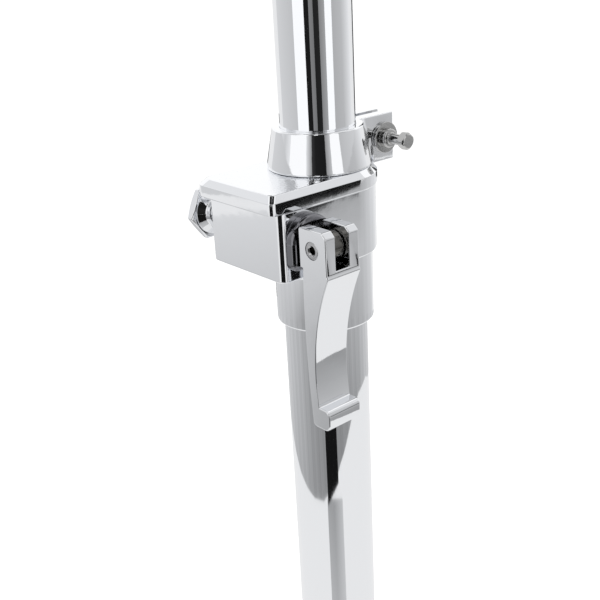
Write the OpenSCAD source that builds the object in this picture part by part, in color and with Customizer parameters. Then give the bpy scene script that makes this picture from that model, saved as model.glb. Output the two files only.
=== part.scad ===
// Straight cymbal stand: three folding legs, two telescopic joints and a tilter.
// Millimetres, +Z up. The floor is Z = 0 and the origin is the middle of the footprint box.
// The lever of the main clamp faces -Y and the flat end of the clamp faces -X.

/* [Tubes] */
// Outside diameter of the lower tube
lower_d = 35; // [34:0.5:37]
// Wall of the lower tube
lower_wall = 1.5; // [1.2:0.1:1.6]
// Height of the lower tube's bottom end above the floor
lower_end = 20; // [17:1:24]
// Outside diameter of the upper tube
upper_d = 30; // [28:0.5:30.5]
// Wall of the upper tube
upper_wall = 1.5; // [1.2:0.1:1.8]
// Length of the upper tube hidden in the lower tube
upper_hidden = 300; // [280:5:320]
// Length of the upper tube between the main clamp and the upper socket
upper_shown = 285; // [240:5:330]
// Outside diameter of the top tube
top_d = 22; // [20:0.5:23]
// Wall of the top tube
top_wall = 1.2; // [1:0.1:1.5]
// Length of the top tube hidden in the upper tube
top_hidden = 240; // [220:5:260]
// Length of the top tube between the upper socket and the tilter
top_shown = 235; // [200:5:280]

/* [Base] */
// Angle of a leg from the tube when the stand is spread
leg_angle = 48; // [44:1:52]
// Length of a leg between its collar pin and its foot
leg_len = 460; // [450:2:480]
// Length of a brace between its pins
brace_len = 210; // [205:1:215]
// Distance of the hub and collar pins from the tube's axis
pivot_r = 35; // [33:0.5:38]
// Thickness of a leg's flat bar
rail_t = 2.5; // [2:0.1:3]
// Width of a leg's flat bar
rail_w = 16; // [14:0.5:17]
// Thickness of a brace's flat link
link_t = 2.5; // [2:0.1:3]
// Width of a brace's flat link
link_w = 13; // [11:0.5:14]
// Thickness of the collar's lugs
lug_t = 10; // [8:0.5:12]
// Side gap between two bars that turn on one pin
side_gap = 0.3; // [0.3:0.05:0.4]
// Diameter of the leg pins
pin_d = 5; // [4:0.25:6]
// Thickness of a pin's head
pin_head_t = 1.6; // [1:0.1:2]
// Height of a leg's lower end above the floor
foot_lift = 10; // [9:0.25:11]
// Wall of rubber round the end of a leg
foot_wall = 4; // [3:0.25:5]
// Length of leg inside its rubber foot
foot_grip = 30; // [24:1:36]
// Height of the hub
hub_h = 20; // [18:1:22]
// Wall of the hub and of the leg collar
ring_wall = 5.5; // [4.5:0.25:6]
// Height of the leg collar
collar_h = 38; // [34:1:44]
// Wall of the leg collar's plastic bush
bush_wall = 1.5; // [1:0.1:2]
// Height of the plug's foot under the lower tube
plug_foot = 5; // [3:0.5:6]
// Depth of the plug inside the lower tube
plug_depth = 18; // [12:1:24]

/* [Wing screws] */
// Span of a wing
wing_span = 34; // [30:1:38]
// Thickness of a wing
wing_t = 4.5; // [4:0.25:5]
// Height of a wing
wing_h = 16; // [14:0.5:18]
// Diameter of a wing's hub
wing_hub_d = 11; // [10:0.5:13]
// Diameter of the wing screws
wing_screw_d = 8; // [7:0.5:8]

/* [Main clamp] */
// Height of the main clamp's underside above the floor
clamp_z = 560; // [555:1:600]
// Half the width of the clamp's block and the radius of its nose
block_r = 22.2; // [21.8:0.1:24]
// Distance of the block's flat end from the tube's axis
block_end = 39.9; // [38.5:0.1:42]
// Height of the block
block_h = 27.3; // [26.8:0.1:29]
// Radius of the block's upright edges
block_edge = 2; // [1:0.1:3]
// Outside radius of the band under the block
band_r = 20.35; // [20:0.05:21]
// Height of the band under the block
band_h = 30.2; // [26:0.1:34]
// Outside radius of the sleeve inside the block
sleeve_r = 19; // [18.8:0.1:19.6]
// Width of the sleeve's slot
sleeve_slot = 3; // [2:0.25:4]
// Thickness of the top plate
plate_t = 7.2; // [6.5:0.1:8]
// Overhang of the top plate past the block's flat end
plate_over_end = 4.3; // [3:0.1:5]
// Overhang of the top plate past the block's front
plate_over_front = 0.75; // [0.5:0.05:1.2]
// Overhang of the top plate past the block's rear
plate_over_rear = 2.5; // [1.5:0.1:3]
// Chamfer of the top plate
plate_chamfer = 2.4; // [2:0.1:2.8]
// Play of a tube in the ring that guides it
tube_play = 0.05; // [0.03:0.01:0.08]

/* [Clamp lever] */
// Distance of the cross bolt from the tube's axis
bolt_x = 27.4; // [27.2:0.1:28]
// Height of the cross bolt above the block's underside
bolt_up = 15.2; // [14.8:0.1:15.6]
// Diameter of the cross bolt
bolt_d = 6; // [5:0.25:6.5]
// Distance of the lever's pin in front of the block
lever_out = 11.8; // [11.5:0.1:12.2]
// Width of the lever
lever_w = 16.4; // [15.5:0.1:17]
// Width of the lever's slot
slot_w = 6.6; // [6.2:0.1:7]
// Greatest radius of the lever's head round its pin
head_r = 10; // [9.8:0.05:10.2]
// Distance from the lever's pin down to the foot of the head
head_drop = 7.9; // [7.5:0.1:9]
// Distance from the lever's pin to the front of the head
head_front = 7.5; // [7:0.1:7.8]
// Distance from the lever's pin to the rear of the head
head_rear = 7; // [6.5:0.1:7.2]
// Length of the lever from its pin to its tip
lever_len = 72.6; // [70:0.2:75]
// Radius of the hollow front of the lever's arm
arm_front_r = 94; // [92:1:96]
// Distance from the lever's pin to the middle of the arm's thinnest stretch
arm_waist = 47; // [46:0.5:50]
// Distance the thinnest stretch's front stands behind the pin
waist_back = 1; // [0.5:0.1:1.5]
// Radius of the gently bowed rear of the arm
arm_rear_r = 448; // [430:2:470]
// Height of the thumb lip at the lever's tip
lip_h = 8.8; // [8:0.2:10]
// Distance the thumb lip stands out in front of the pin
lip_out = 5.2; // [4.6:0.1:5.6]
// Diameter of the lever's pin
lever_pin_d = 6.9; // [6:0.1:7.2]
// Diameter of the hexagon socket in the lever's pin, across its flats
socket_flats = 3; // [2.5:0.1:3.5]
// Diameter of the saddle under the lever
saddle_d = 20.4; // [19:0.1:20.8]
// Thickness of the saddle
saddle_t = 4.3; // [3.8:0.1:4.6]
// Clearance between the lever's head and the hollow of its saddle
saddle_gap = 0.9; // [0.8:0.05:1]
// Radius of the bolt's eye
eye_r = 5.6; // [5.2:0.1:5.9]
// Diameter of the two shoes that press on the sleeve
shoe_d = 19.6; // [19.2:0.1:20]
// Length of a shoe
shoe_len = 13; // [11:0.5:14]
// Distance of a shoe's inner end from the middle
shoe_in = 4; // [3:0.5:5]
// Distance of the hand nut's neck end from the block's rear
nut_neck = 11.2; // [11:0.1:14]
// Thickness of the hand nut's head
nut_head_t = 4; // [3.5:0.25:6]
// Width of the hand nut's head across its flats
nut_flats = 20.4; // [19:0.2:22]
// Turn of the hand nut's head about its axis
nut_turn = -6; // [-30:1:30]
// Diameter of the hand nut's neck
nut_neck_d = 13; // [12:0.25:14]
// Thickness of the hand nut's washer
nut_washer_t = 1.5; // [1:0.1:2]
// Diameter of the hand nut's washer
nut_washer_d = 18; // [16:0.5:20]

/* [Memory locks] */
// Height of the main memory lock
lock_h = 16.2; // [15.5:0.1:18]
// Radius of the main memory lock at its bottom
lock_bottom_r = 21.1; // [20.5:0.1:21.6]
// Radius of the main memory lock at its top
lock_top_r = 18; // [17.5:0.1:18.5]
// Reach of the lock's ears from the tube's axis
ear_reach = 35.2; // [34.8:0.1:37]
// Width over both ears of a lock
ear_width = 13.8; // [13:0.1:15]
// Gap between the ears of a lock
ear_gap = 3.6; // [3:0.1:4]
// Drop of the ears' toe below the lock
ear_drop = 3.2; // [2.5:0.1:3.6]
// Distance from the key bolt to the end of the ears
key_from_end = 5.3; // [5:0.1:6]
// Diameter of the key bolts
key_d = 4.4; // [4:0.1:5]
// Width of a key bolt's square head
key_square = 5.9; // [5.6:0.1:6.2]
// Diameter to which the square head's corners are turned off
key_round_d = 7; // [6.6:0.1:7.6]
// Turn of a key bolt's square head about its axis
key_turn = 45; // [0:5:85]
// Length of a key bolt's square head
key_head_len = 4.2; // [3.5:0.1:5]
// Length of a key bolt's neck
key_neck = 5.6; // [5:0.1:7]
// Diameter of a key bolt's flange
key_flange_d = 8; // [7.5:0.1:9]
// Thickness of a key bolt's flange
key_flange_t = 2.6; // [2:0.1:3]
// Thickness of a key bolt's washer
key_washer_t = 1.4; // [1:0.1:2]
// Diameter of a key bolt's washer
key_washer_d = 12; // [11:0.5:13]
// Width of the square nut on a key bolt
key_nut_w = 8; // [7:0.25:9]
// Thickness of the square nut
key_nut_t = 3; // [2.5:0.25:4]
// Height of the second memory lock
lock2_h = 13; // [12:0.5:15]
// Wall of the second memory lock
lock2_wall = 4.5; // [4:0.25:5.5]

/* [Upper socket] */
// Height of the upper socket
socket_h = 46; // [42:1:52]
// Wall of the upper socket round the upper tube
socket_wall = 3; // [2.5:0.25:3.5]
// Length of the upper tube inside its socket
socket_grip = 24; // [20:1:28]
// Width of the socket's slot
socket_slot = 3; // [2.5:0.25:4]
// Reach of the socket's ears past its wall
socket_ear = 15; // [14:0.5:18]
// Width over the socket's ears
socket_ear_w = 19; // [17:0.5:21]
// Height of the socket's ears
socket_ear_h = 16; // [15:0.5:20]

/* [Tilter] */
// Diameter of the tilter's two discs
disc_d = 30; // [28:0.5:32]
// Thickness of each disc
disc_t = 10; // [9:0.5:11]
// Gap between the two discs
disc_gap = 0.3; // [0.3:0.05:0.4]
// Height of the tilter's socket on the top tube
tilter_h = 32; // [28:1:36]
// Wall of the tilter's socket
tilter_wall = 3; // [2.5:0.25:3.5]
// Height of the tilter's axis above the top of its socket
tilter_rise = 13; // [12:0.5:16]
// Height of the rod boss on the tilter's head
boss_h = 16; // [14:0.5:20]
// Diameter of the rod boss
boss_d = 15; // [14:0.5:17]

/* [Cymbal rod] */
// Diameter of the cymbal rod
rod_d = 8; // [7.5:0.1:8]
// Length of the rod above its boss
rod_len = 92; // [88:1:110]
// Depth of the rod in its boss
rod_depth = 12; // [8:1:13]
// Diameter of the rod's plain tip
tip_d = 6.4; // [5.5:0.1:6.6]
// Length of the rod's plain tip
tip_len = 14; // [10:1:18]
// Diameter of the cup washer
cup_d = 32; // [28:1:36]
// Thickness of the cup washer
cup_t = 2; // [1.5:0.25:3]
// Diameter of the plastic sleeve
cymbal_sleeve_d = 11.5; // [11:0.25:12.5]
// Length of the plastic sleeve above its flange
cymbal_sleeve_len = 34; // [32:1:40]
// Diameter of the felts
felt_d = 38; // [34:1:42]
// Thickness of the lower felt
felt_low_t = 14; // [10:1:16]
// Thickness of the upper felt
felt_up_t = 12; // [8:1:14]
// Diameter of the washer under the wing nut
top_washer_d = 22; // [18:1:26]

/* [Hidden] */
$fn = 96;
bite = 1; // length by which a cutter runs past the face it cuts
fit = 0.05; // radial clearance of a pin that turns in a hole
rest_gap = 0.3; // clearance between faces of two moving bodies
eye_t = 5.6; // thickness of the bolt's eye
slot_side_gap = (slot_w - eye_t) / 2;
slot_floor = 0.7; // web left between the lever's slot and the foot of its head
head_top = head_r * 0.78; // height of the lever's flat top above its pin
arm_rear_z = -head_drop * 3.3; // height at which the arm's rear is furthest back
lip_round = 2; // radius of the thumb lip's tip
lip_root = 3; // length of the thumb lip inside the arm
pin_socket_depth = 3; // depth of the hexagon socket
pin_head_ratio = 1.7; // head of a pin over its shaft
spacer_r = pin_d * 0.8; // radius of the spacers between two bars
boss_out = 4; // length of the collar's boss for its screw
boss_wall = 4; // wall of that boss
wing_stand = 3; // length of screw seen between the boss and its wings
wing_root = 2; // length of the screw inside the wings' hub
wing_hub_h = wing_h * 0.6;
wing_web_h = wing_h * 0.7;
wing_foot_h = wing_h * 0.5;
wing_round_r = wing_h * 0.3;
wing_overlap = 1; // length of a wing inside its hub
wing_air = 0.5; // gap between turning wings and the body behind them
bolt_proud = 2; // length of a bolt past its nut
socket_nut_t = 6;
socket_nut_flats = 12.8;
lock2_ear = 11; // reach of the second lock's ears past its ring
tilt_head_t = 4; // thickness of the tilter bolt's head
boss_start = 1.5; // gap between the tilter's wing nut and the rod boss
flange_w = 4; // width of the sleeve's flange past the sleeve
felt_crown = 0.15; // share of a felt's thickness that each crowned edge takes
tip_taper = (rod_d - tip_d) / 2;
tip_z = rod_len - tip_len; // height at which the rod's plain tip begins

foot_x = pivot_r + leg_len * sin(leg_angle);
hub_pin_z = foot_lift + (leg_len - 2 * brace_len) * cos(leg_angle);
collar_pin_z = hub_pin_z + 2 * brace_len * cos(leg_angle);
foot_r = rail_w / 2 + foot_wall;
rail_in = lug_t / 2 + side_gap;
rail_out = rail_in + rail_t;
link_in = rail_out + side_gap;
link_out = link_in + link_t;
foot_side = rail_out + foot_wall;
reach_front = foot_x + foot_r;
reach_back = reach_front / 2 + foot_side * sin(60);
tube_x = -(reach_front - reach_back) / 2;

lower_r = lower_d / 2;
upper_r = upper_d / 2;
top_r = top_d / 2;
hub_z = hub_pin_z - hub_h / 2;
hub_r = lower_r + ring_wall;
collar_bore = lower_r + tube_play + bush_wall;
collar_r = collar_bore + ring_wall - bush_wall;
collar_z = collar_pin_z - collar_h / 2;
collar_wing_x = collar_r + boss_out + wing_stand;
plate_z = clamp_z + block_h;
lock_z = plate_z + plate_t;
bolt_z = clamp_z + bolt_up;
lever_y = -(block_r + lever_out);
plate_r = block_r + plate_over_front;
nut_y = block_r + nut_washer_t + nut_neck;
key_x = ear_reach - key_from_end;
key_z = lock_z + (lock_h - ear_drop) / 2;
upper_top = lock_z + lock_h + upper_shown;
socket_z = upper_top - socket_grip;
socket_r = upper_r + socket_wall;
socket_top = socket_z + socket_h;
socket_key_x = socket_r + socket_ear / 2;
socket_bolt_z = socket_top - socket_ear_h / 2;
socket_wing_y = max(socket_r, socket_ear_w / 2) + 2 * wing_air; // the wings clear the socket's wall
lock2_z = socket_top + rest_gap;
lock2_r = top_r + lock2_wall;
lock2_reach = lock2_r + lock2_ear;
lock2_key_x = lock2_reach - key_from_end;
lock2_key_z = lock2_z + lock2_h / 2;
top_end = lock2_z + lock2_h + top_shown;
tilter_r = top_r + tilter_wall;
tilter_top = top_end + tilter_wall;
tilter_axis = tilter_top + tilter_rise;
rod_y = disc_gap / 2 + disc_t / 2;
disc_face = disc_gap / 2 + disc_t;
tilt_wing_y = max(tilter_r, rod_y + boss_d / 2) + wing_air; // the wings clear cap and boss
boss_foot = wing_hub_d / 2 + boss_start; // height above the axis at which the rod boss begins
boss_top = tilter_axis + disc_d / 2 + boss_h;
cup_z = boss_top;
sleeve_z = cup_z + cup_t;
sleeve_flange_t = 2;
felt_z = sleeve_z + sleeve_flange_t;
felt_up_z = felt_z + felt_low_t;
top_washer_z = felt_up_z + felt_up_t;
top_washer_t = 1.5;
top_nut_z = max(top_washer_z + top_washer_t, sleeve_z + sleeve_flange_t + cymbal_sleeve_len + rest_gap);

// Places its children on the stand's upright axis
module on_axis() { translate([tube_x, 0, 0]) children(); }

// Places its children in the plane of leg number i
module at_leg(i) { on_axis() rotate([0, 0, 120 * (i - 1)]) children(); }

// Tube along Z from z0 with length h
module pipe(outer_r, inner_r, h, z0 = 0) {
  translate([0, 0, z0]) difference() {
    cylinder(r = outer_r, h = h);
    translate([0, 0, -bite]) cylinder(r = inner_r, h = h + 2 * bite);
  }
}

// Cylinder along Y from y0 to y1
module y_rod(r, y0, y1) {
  translate([0, y0, 0]) rotate([-90, 0, 0]) cylinder(r = r, h = y1 - y0);
}

// Flat bar with round ends, from a pin to another pin at distance len downwards
module bar(len, w, t, y0, hole_r, tail = 0) {
  translate([0, y0 + t, 0]) rotate([90, 0, 0]) linear_extrude(t) difference() {
    union() {
      circle(d = w);
      translate([-w / 2, -len - tail]) square([w, len + tail]);
      if (tail == 0) translate([0, -len]) circle(d = w);
    }
    circle(r = hole_r);
    if (tail == 0) translate([0, -len]) circle(r = hole_r);
  }
}

// Pin along Y with a head at each end, for a stack of half width s
module headed_pin(r, s) {
  y_rod(r, -s, s);
  for (side = [0, 1]) mirror([0, side, 0]) y_rod(r * pin_head_ratio, s, s + pin_head_t);
}

// Places its children at the collar pin of the leg, turned into the leg's direction
module on_leg(i) {
  at_leg(i) translate([pivot_r, 0, collar_pin_z]) rotate([0, -leg_angle, 0]) children();
}

// Places its children at the brace's hub pin, turned so that the brace hangs along -Z
module on_brace(i) {
  at_leg(i) translate([pivot_r, 0, hub_pin_z]) rotate([0, leg_angle - 180, 0]) children();
}

module lower_tube() color("silver") on_axis()
  pipe(lower_r, lower_r - lower_wall, clamp_z + block_h - lower_end, lower_end);

module tube_plug() color("dimgray") on_axis() {
  translate([0, 0, lower_end - plug_foot]) cylinder(r = lower_r, h = plug_foot);
  translate([0, 0, lower_end]) cylinder(r = lower_r - lower_wall, h = plug_depth);
}

// Ring with three lugs that carry the brace pins
module leg_hub() color("silver") difference() {
  union() {
    on_axis() translate([0, 0, hub_z]) cylinder(r = hub_r, h = hub_h);
    for (i = [1:3]) at_leg(i) translate([pivot_r, 0, hub_pin_z]) {
      y_rod(link_w / 2, -rail_out, rail_out);
      translate([-pivot_r + lower_r + ring_wall / 2, -rail_out, -link_w / 2])
        cube([pivot_r - lower_r - ring_wall / 2, 2 * rail_out, link_w]);
    }
  }
  on_axis() translate([0, 0, hub_z - bite]) cylinder(r = lower_r, h = hub_h + 2 * bite);
  for (i = [1:3]) at_leg(i) translate([pivot_r, 0, hub_pin_z])
    y_rod(pin_d / 2, -link_out, link_out);
}

module hub_pins() color("silver")
  for (i = [1:3]) at_leg(i) translate([pivot_r, 0, hub_pin_z])
    headed_pin(pin_d / 2, link_out + side_gap);

// Two flat bars with holes for the collar pin and for the brace rivet
module leg_bars(i) color("silver") on_leg(i)
  for (side = [0, 1]) mirror([0, side, 0]) difference() {
    bar(leg_len - rail_w / 2, rail_w, rail_t, rail_in, pin_d / 2 + fit, tail = rail_w / 2);
    translate([0, 0, -brace_len]) y_rod(pin_d / 2, rail_in - bite, rail_out + bite);
    translate([0, 0, foot_grip + rail_w - leg_len]) y_rod(pin_d / 2, rail_in - bite, rail_out + bite);
  }

// The brace rivet, and the rivet with its spacer just above the foot
module leg_rivets(i) color("silver") on_leg(i) {
  translate([0, 0, -brace_len]) {
    headed_pin(pin_d / 2, link_out + side_gap);
    y_rod(spacer_r, -rail_in, rail_in);
  }
  translate([0, 0, foot_grip + rail_w - leg_len]) {
    headed_pin(pin_d / 2, rail_out);
    y_rod(spacer_r, -rail_in, rail_in);
  }
}

// Rubber boot round both bars, rounded at its tip and cut flat on the floor
module rubber_foot(i) color("#222222") difference() {
  on_leg(i) difference() {
    union() {
      translate([0, 0, -leg_len]) y_rod(foot_r, -foot_side, foot_side);
      translate([-foot_r, -foot_side, -leg_len]) cube([2 * foot_r, 2 * foot_side, foot_grip]);
    }
    for (side = [0, 1]) mirror([0, side, 0])
      translate([-rail_w / 2, rail_in, -leg_len]) cube([rail_w, rail_t, leg_len]);
  }
  at_leg(i) translate([foot_x - leg_len, -foot_side - bite, -leg_len])
    cube([2 * leg_len, 2 * foot_side + 2 * bite, leg_len]);
}

module brace_links(i) color("silver") on_brace(i)
  for (side = [0, 1]) mirror([0, side, 0])
    bar(brace_len, link_w, link_t, link_in, pin_d / 2 + fit);

// Sliding collar with three lugs for the legs and a boss for its wing screw
module leg_collar() color("silver") difference() {
  union() {
    on_axis() translate([0, 0, collar_z]) cylinder(r = collar_r, h = collar_h);
    for (i = [1:3]) at_leg(i) translate([pivot_r, 0, collar_pin_z]) {
      y_rod(rail_w / 2, -lug_t / 2, lug_t / 2);
      translate([-pivot_r + collar_r - ring_wall / 3, -lug_t / 2, -rail_w / 2])
        cube([pivot_r - collar_r + ring_wall / 3, lug_t, rail_w]);
    }
    on_axis() translate([-collar_r - boss_out, 0, collar_pin_z]) rotate([0, 90, 0])
      cylinder(d = wing_screw_d + 2 * boss_wall, h = boss_out + ring_wall / 2);
  }
  on_axis() translate([0, 0, collar_z - bite]) cylinder(r = collar_bore, h = collar_h + 2 * bite);
  on_axis() translate([-collar_r - boss_out - bite, 0, collar_pin_z]) rotate([0, 90, 0])
    cylinder(r = wing_screw_d / 2 + fit, h = collar_r + boss_out);
  for (i = [1:3]) at_leg(i) translate([pivot_r, 0, collar_pin_z])
    y_rod(pin_d / 2, -lug_t / 2 - bite, lug_t / 2 + bite);
}

module collar_bush() color("#1c1c1c") on_axis() difference() {
  pipe(collar_bore, lower_r + tube_play, collar_h, collar_z);
  translate([-collar_bore - bite, 0, collar_pin_z]) rotate([0, 90, 0])
    cylinder(r = wing_screw_d / 2 + fit, h = collar_bore);
}

module collar_pins() color("silver")
  for (i = [1:3]) at_leg(i) translate([pivot_r, 0, collar_pin_z])
    headed_pin(pin_d / 2, rail_out + side_gap);

// Two wings on a hub along +Z, standing on Z = 0
module wings(bore_r) difference() {
  union() {
    cylinder(d = wing_hub_d, h = wing_hub_h);
    for (side = [0, 1]) mirror([side, 0, 0]) {
      translate([0, -wing_t / 2, 0]) cube([wing_span / 2 - wing_round_r, wing_t, wing_foot_h]);
      translate([wing_span / 2 - wing_round_r, wing_t / 2, wing_web_h]) rotate([90, 0, 0])
        cylinder(r = wing_round_r, h = wing_t);
      translate([wing_hub_d / 2 - wing_overlap, -wing_t / 2, 0])
        cube([wing_span / 2 - wing_hub_d / 2 + wing_overlap, wing_t, wing_web_h]);
    }
  }
  if (bore_r > 0) translate([0, 0, -bite]) cylinder(r = bore_r, h = wing_h + 2 * bite);
}

// Screw that presses on the lower tube through the collar
module collar_wing_screw() color("silver") on_axis() translate([0, 0, collar_pin_z]) {
  translate([-collar_wing_x - wing_root, 0, 0]) rotate([0, 90, 0])
    cylinder(r = wing_screw_d / 2, h = collar_wing_x + wing_root - lower_r - rest_gap);
  translate([-collar_wing_x, 0, 0]) rotate([0, -90, 0]) wings(0);
}

// Slotted steel sleeve on the end of the lower tube, with a wider band under the block
module clamp_sleeve() color("silver") on_axis() difference() {
  union() {
    translate([0, 0, clamp_z - band_h]) cylinder(r = band_r, h = band_h);
    translate([0, 0, clamp_z]) cylinder(r = sleeve_r, h = block_h);
  }
  translate([0, 0, clamp_z - band_h - bite]) cylinder(r = lower_r, h = band_h + block_h + 2 * bite);
  translate([-band_r - bite, -sleeve_slot / 2, clamp_z])
    cube([band_r, sleeve_slot, block_h + bite]);
}

// Outline of the block: a round nose and a square end with rounded corners
module block_outline() {
  circle(r = block_r);
  translate([-block_end + block_edge, -block_r]) square([block_end - block_edge, 2 * block_r]);
  translate([-block_end, -block_r + block_edge])
    square([block_end, 2 * block_r - 2 * block_edge]);
  for (side = [-1, 1])
    translate([-block_end + block_edge, side * (block_r - block_edge)]) circle(r = block_edge);
}

module clamp_block() color("silver") on_axis() difference() {
  translate([0, 0, clamp_z]) linear_extrude(block_h) block_outline();
  translate([0, 0, clamp_z - bite]) cylinder(r = sleeve_r, h = block_h + 2 * bite);
  translate([-bolt_x, 0, bolt_z]) {
    y_rod(shoe_d / 2 + fit, -shoe_in - shoe_len - bite, shoe_in + shoe_len + bite);
    y_rod(bolt_d / 2 + rest_gap, -block_r - bite, block_r + bite);
  }
}

// Two round shoes on the cross bolt, hollowed to the sleeve
module clamp_shoes() color("gray") on_axis() difference() {
  for (side = [0, 1]) mirror([0, side, 0]) difference() {
    translate([-bolt_x, 0, bolt_z]) y_rod(shoe_d / 2, shoe_in, shoe_in + shoe_len);
    translate([-bolt_x, 0, bolt_z]) y_rod(bolt_d / 2 + rest_gap, 0, block_r);
  }
  translate([0, 0, clamp_z - bite]) cylinder(r = sleeve_r, h = block_h + 2 * bite);
}

// Plate on the block, with chamfered top edges and a round nose
module top_plate() color("silver") on_axis() translate([0, 0, plate_z]) difference() {
  union() {
    translate([-block_end - plate_over_end, -plate_r, 0])
      cube([block_end + plate_over_end, plate_r + block_r + plate_over_rear, plate_t]);
    cylinder(r = plate_r, h = plate_t - plate_chamfer);
    translate([0, 0, plate_t - plate_chamfer])
      cylinder(r1 = plate_r, r2 = plate_r - plate_chamfer, h = plate_chamfer);
  }
  for (side = [[plate_r, 0], [block_r + plate_over_rear, 1]]) mirror([0, side[1], 0])
    translate([-block_end - plate_over_end - bite, -side[0], plate_t - plate_chamfer])
      rotate([45, 0, 0]) translate([0, -plate_chamfer, 0])
        cube([block_end + plate_over_end + 2 * bite, 3 * plate_chamfer, 2 * plate_chamfer]);
  translate([-block_end - plate_over_end, -2 * block_r, plate_t - plate_chamfer])
    rotate([0, -45, 0]) translate([-plate_chamfer, 0, 0])
      cube([3 * plate_chamfer, 4 * block_r, 2 * plate_chamfer]);
  translate([0, 0, -bite]) cylinder(r = upper_r + rest_gap, h = plate_t + 2 * bite);
}

// Plastic bush that guides the upper tube in the lower one
module guide_bush() color("#1c1c1c") on_axis()
  pipe(lower_r - lower_wall, upper_r + tube_play, band_h + block_h, clamp_z - band_h);

// Round saddle on the block's front, hollowed for the lever's head
module cam_saddle() color("dimgray") on_axis() translate([-bolt_x, 0, bolt_z]) difference() {
  y_rod(saddle_d / 2, -block_r - saddle_t, -block_r);
  y_rod(bolt_d / 2 + rest_gap, -block_r - saddle_t - bite, -block_r + bite);
  translate([-saddle_d / 2 - bite, lever_y, 0]) rotate([0, 90, 0])
    cylinder(r = head_r + saddle_gap, h = saddle_d + 2 * bite);
}

// Eye bolt across the block: the eye holds the lever's pin
module cross_bolt() color("silver") on_axis() translate([-bolt_x, 0, bolt_z]) difference() {
  union() {
    y_rod(bolt_d / 2, lever_y, nut_y + nut_head_t);
    translate([slot_side_gap - slot_w / 2, lever_y, 0]) rotate([0, 90, 0])
      cylinder(r = eye_r, h = slot_w - 2 * slot_side_gap);
  }
  translate([-slot_w, lever_y, 0]) rotate([0, 90, 0])
    cylinder(r = lever_pin_d / 2 + fit, h = 2 * slot_w);
}

// Pin of the lever, flush with both cheeks, with a hexagon socket in its outer end
module lever_pin() color("dimgray") on_axis() translate([-bolt_x, lever_y, bolt_z])
  rotate([0, 90, 0]) difference() {
    translate([0, 0, -lever_w / 2]) cylinder(d = lever_pin_d, h = lever_w);
    translate([0, 0, -lever_w / 2 - bite])
      cylinder(d = socket_flats / cos(30), h = pin_socket_depth + bite, $fn = 6);
  }

// Side outline of the lever, with its pin at the origin, X to the rear and Y up
module lever_outline() {
  // Head, kept within the circle that clears the saddle
  intersection() {
    translate([-head_front, -head_drop]) square([head_front + head_rear, head_drop + head_r]);
    union() {
      translate([-head_front, -head_drop]) square([head_front + head_rear, head_drop]);
      circle(r = head_r);
    }
    translate([-2 * head_r, -2 * head_r]) square([4 * head_r, 2 * head_r + head_top]);
  }
  // Arm between its hollow front and its bowed rear
  difference() {
    intersection() {
      translate([-head_front, -lever_len]) square([head_front + head_rear, lever_len - head_drop + bite]);
      translate([head_rear - 1 - arm_rear_r, arm_rear_z]) circle(r = arm_rear_r, $fn = 360);
    }
    translate([waist_back - arm_front_r, -arm_waist]) circle(r = arm_front_r, $fn = 360);
  }
  // Thumb lip
  difference() {
    translate([-lip_out, -lever_len]) square([lip_out + lip_root, lip_h]);
    translate([-lip_out, -lever_len]) difference() {
      translate([-bite, -bite]) square([lip_round + bite, lip_round + bite]);
      translate([lip_round, lip_round]) circle(r = lip_round);
    }
  }
}

module clamp_lever() color("silver") on_axis() translate([-bolt_x, lever_y, bolt_z])
  rotate([90, 0, 90]) difference() {
    translate([0, 0, -lever_w / 2]) linear_extrude(lever_w) lever_outline();
    translate([0, 0, -lever_w]) cylinder(d = lever_pin_d, h = 2 * lever_w);
    translate([-head_r - bite, -head_drop + slot_floor, -slot_w / 2])
      cube([2 * head_r + 2 * bite, head_drop + head_r + bite, slot_w]);
  }

module nut_washer() color("silver") on_axis() translate([-bolt_x, 0, bolt_z]) difference() {
  y_rod(nut_washer_d / 2, block_r + rest_gap, block_r + nut_washer_t);
  y_rod(bolt_d / 2 + fit, 0, 2 * block_r);
}

// Hand nut on the end of the cross bolt
module hand_nut() color("silver") on_axis() translate([-bolt_x, 0, bolt_z]) difference() {
  union() {
    y_rod(nut_neck_d / 2, block_r + nut_washer_t, nut_y);
    translate([0, nut_y, 0]) rotate([-90, 0, 0]) rotate([0, 0, nut_turn])
      cylinder(d = nut_flats / cos(30), h = nut_head_t, $fn = 6);
  }
  y_rod(bolt_d / 2 + fit, 0, nut_y + nut_head_t + bite);
}

// Conical ring on the upper tube, with two ears drawn together by the key bolt
module memory_lock() color("silver") on_axis() difference() {
  union() {
    translate([0, 0, lock_z]) cylinder(r1 = lock_bottom_r, r2 = lock_top_r, h = lock_h);
    translate([upper_r, -ear_width / 2, lock_z]) cube([ear_reach - upper_r, ear_width, lock_h]);
    translate([plate_r + rest_gap * 2, -ear_width / 2, lock_z - ear_drop])
      cube([ear_reach - plate_r - rest_gap * 2, ear_width, ear_drop]);
  }
  translate([0, 0, lock_z - bite]) cylinder(r = upper_r, h = lock_h + 2 * bite);
  translate([0, -ear_gap / 2, lock_z - ear_drop - bite])
    cube([ear_reach + bite, ear_gap, lock_h + ear_drop + 2 * bite]);
  translate([key_x, 0, key_z]) y_rod(key_d / 2 + fit, -ear_width, ear_width);
}

// Square-headed key bolt along Y; its thread ends in a nut at +Y
module square_bolt(y_face, y_end) {
  y_rod(key_d / 2, -y_face - key_washer_t, y_end);
  y_rod(key_flange_d / 2, -y_face - key_washer_t - key_flange_t, -y_face - key_washer_t);
  y_rod(key_d / 2, -y_face - key_washer_t - key_flange_t - key_neck, -y_face - key_washer_t);
  translate([0, -y_face - key_washer_t - key_flange_t - key_neck, 0]) intersection() {
    y_rod(key_round_d / 2, -key_head_len, 0);
    rotate([0, key_turn, 0]) translate([-key_square / 2, -key_head_len, -key_square / 2])
      cube([key_square, key_head_len, key_square]);
  }
}

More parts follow.
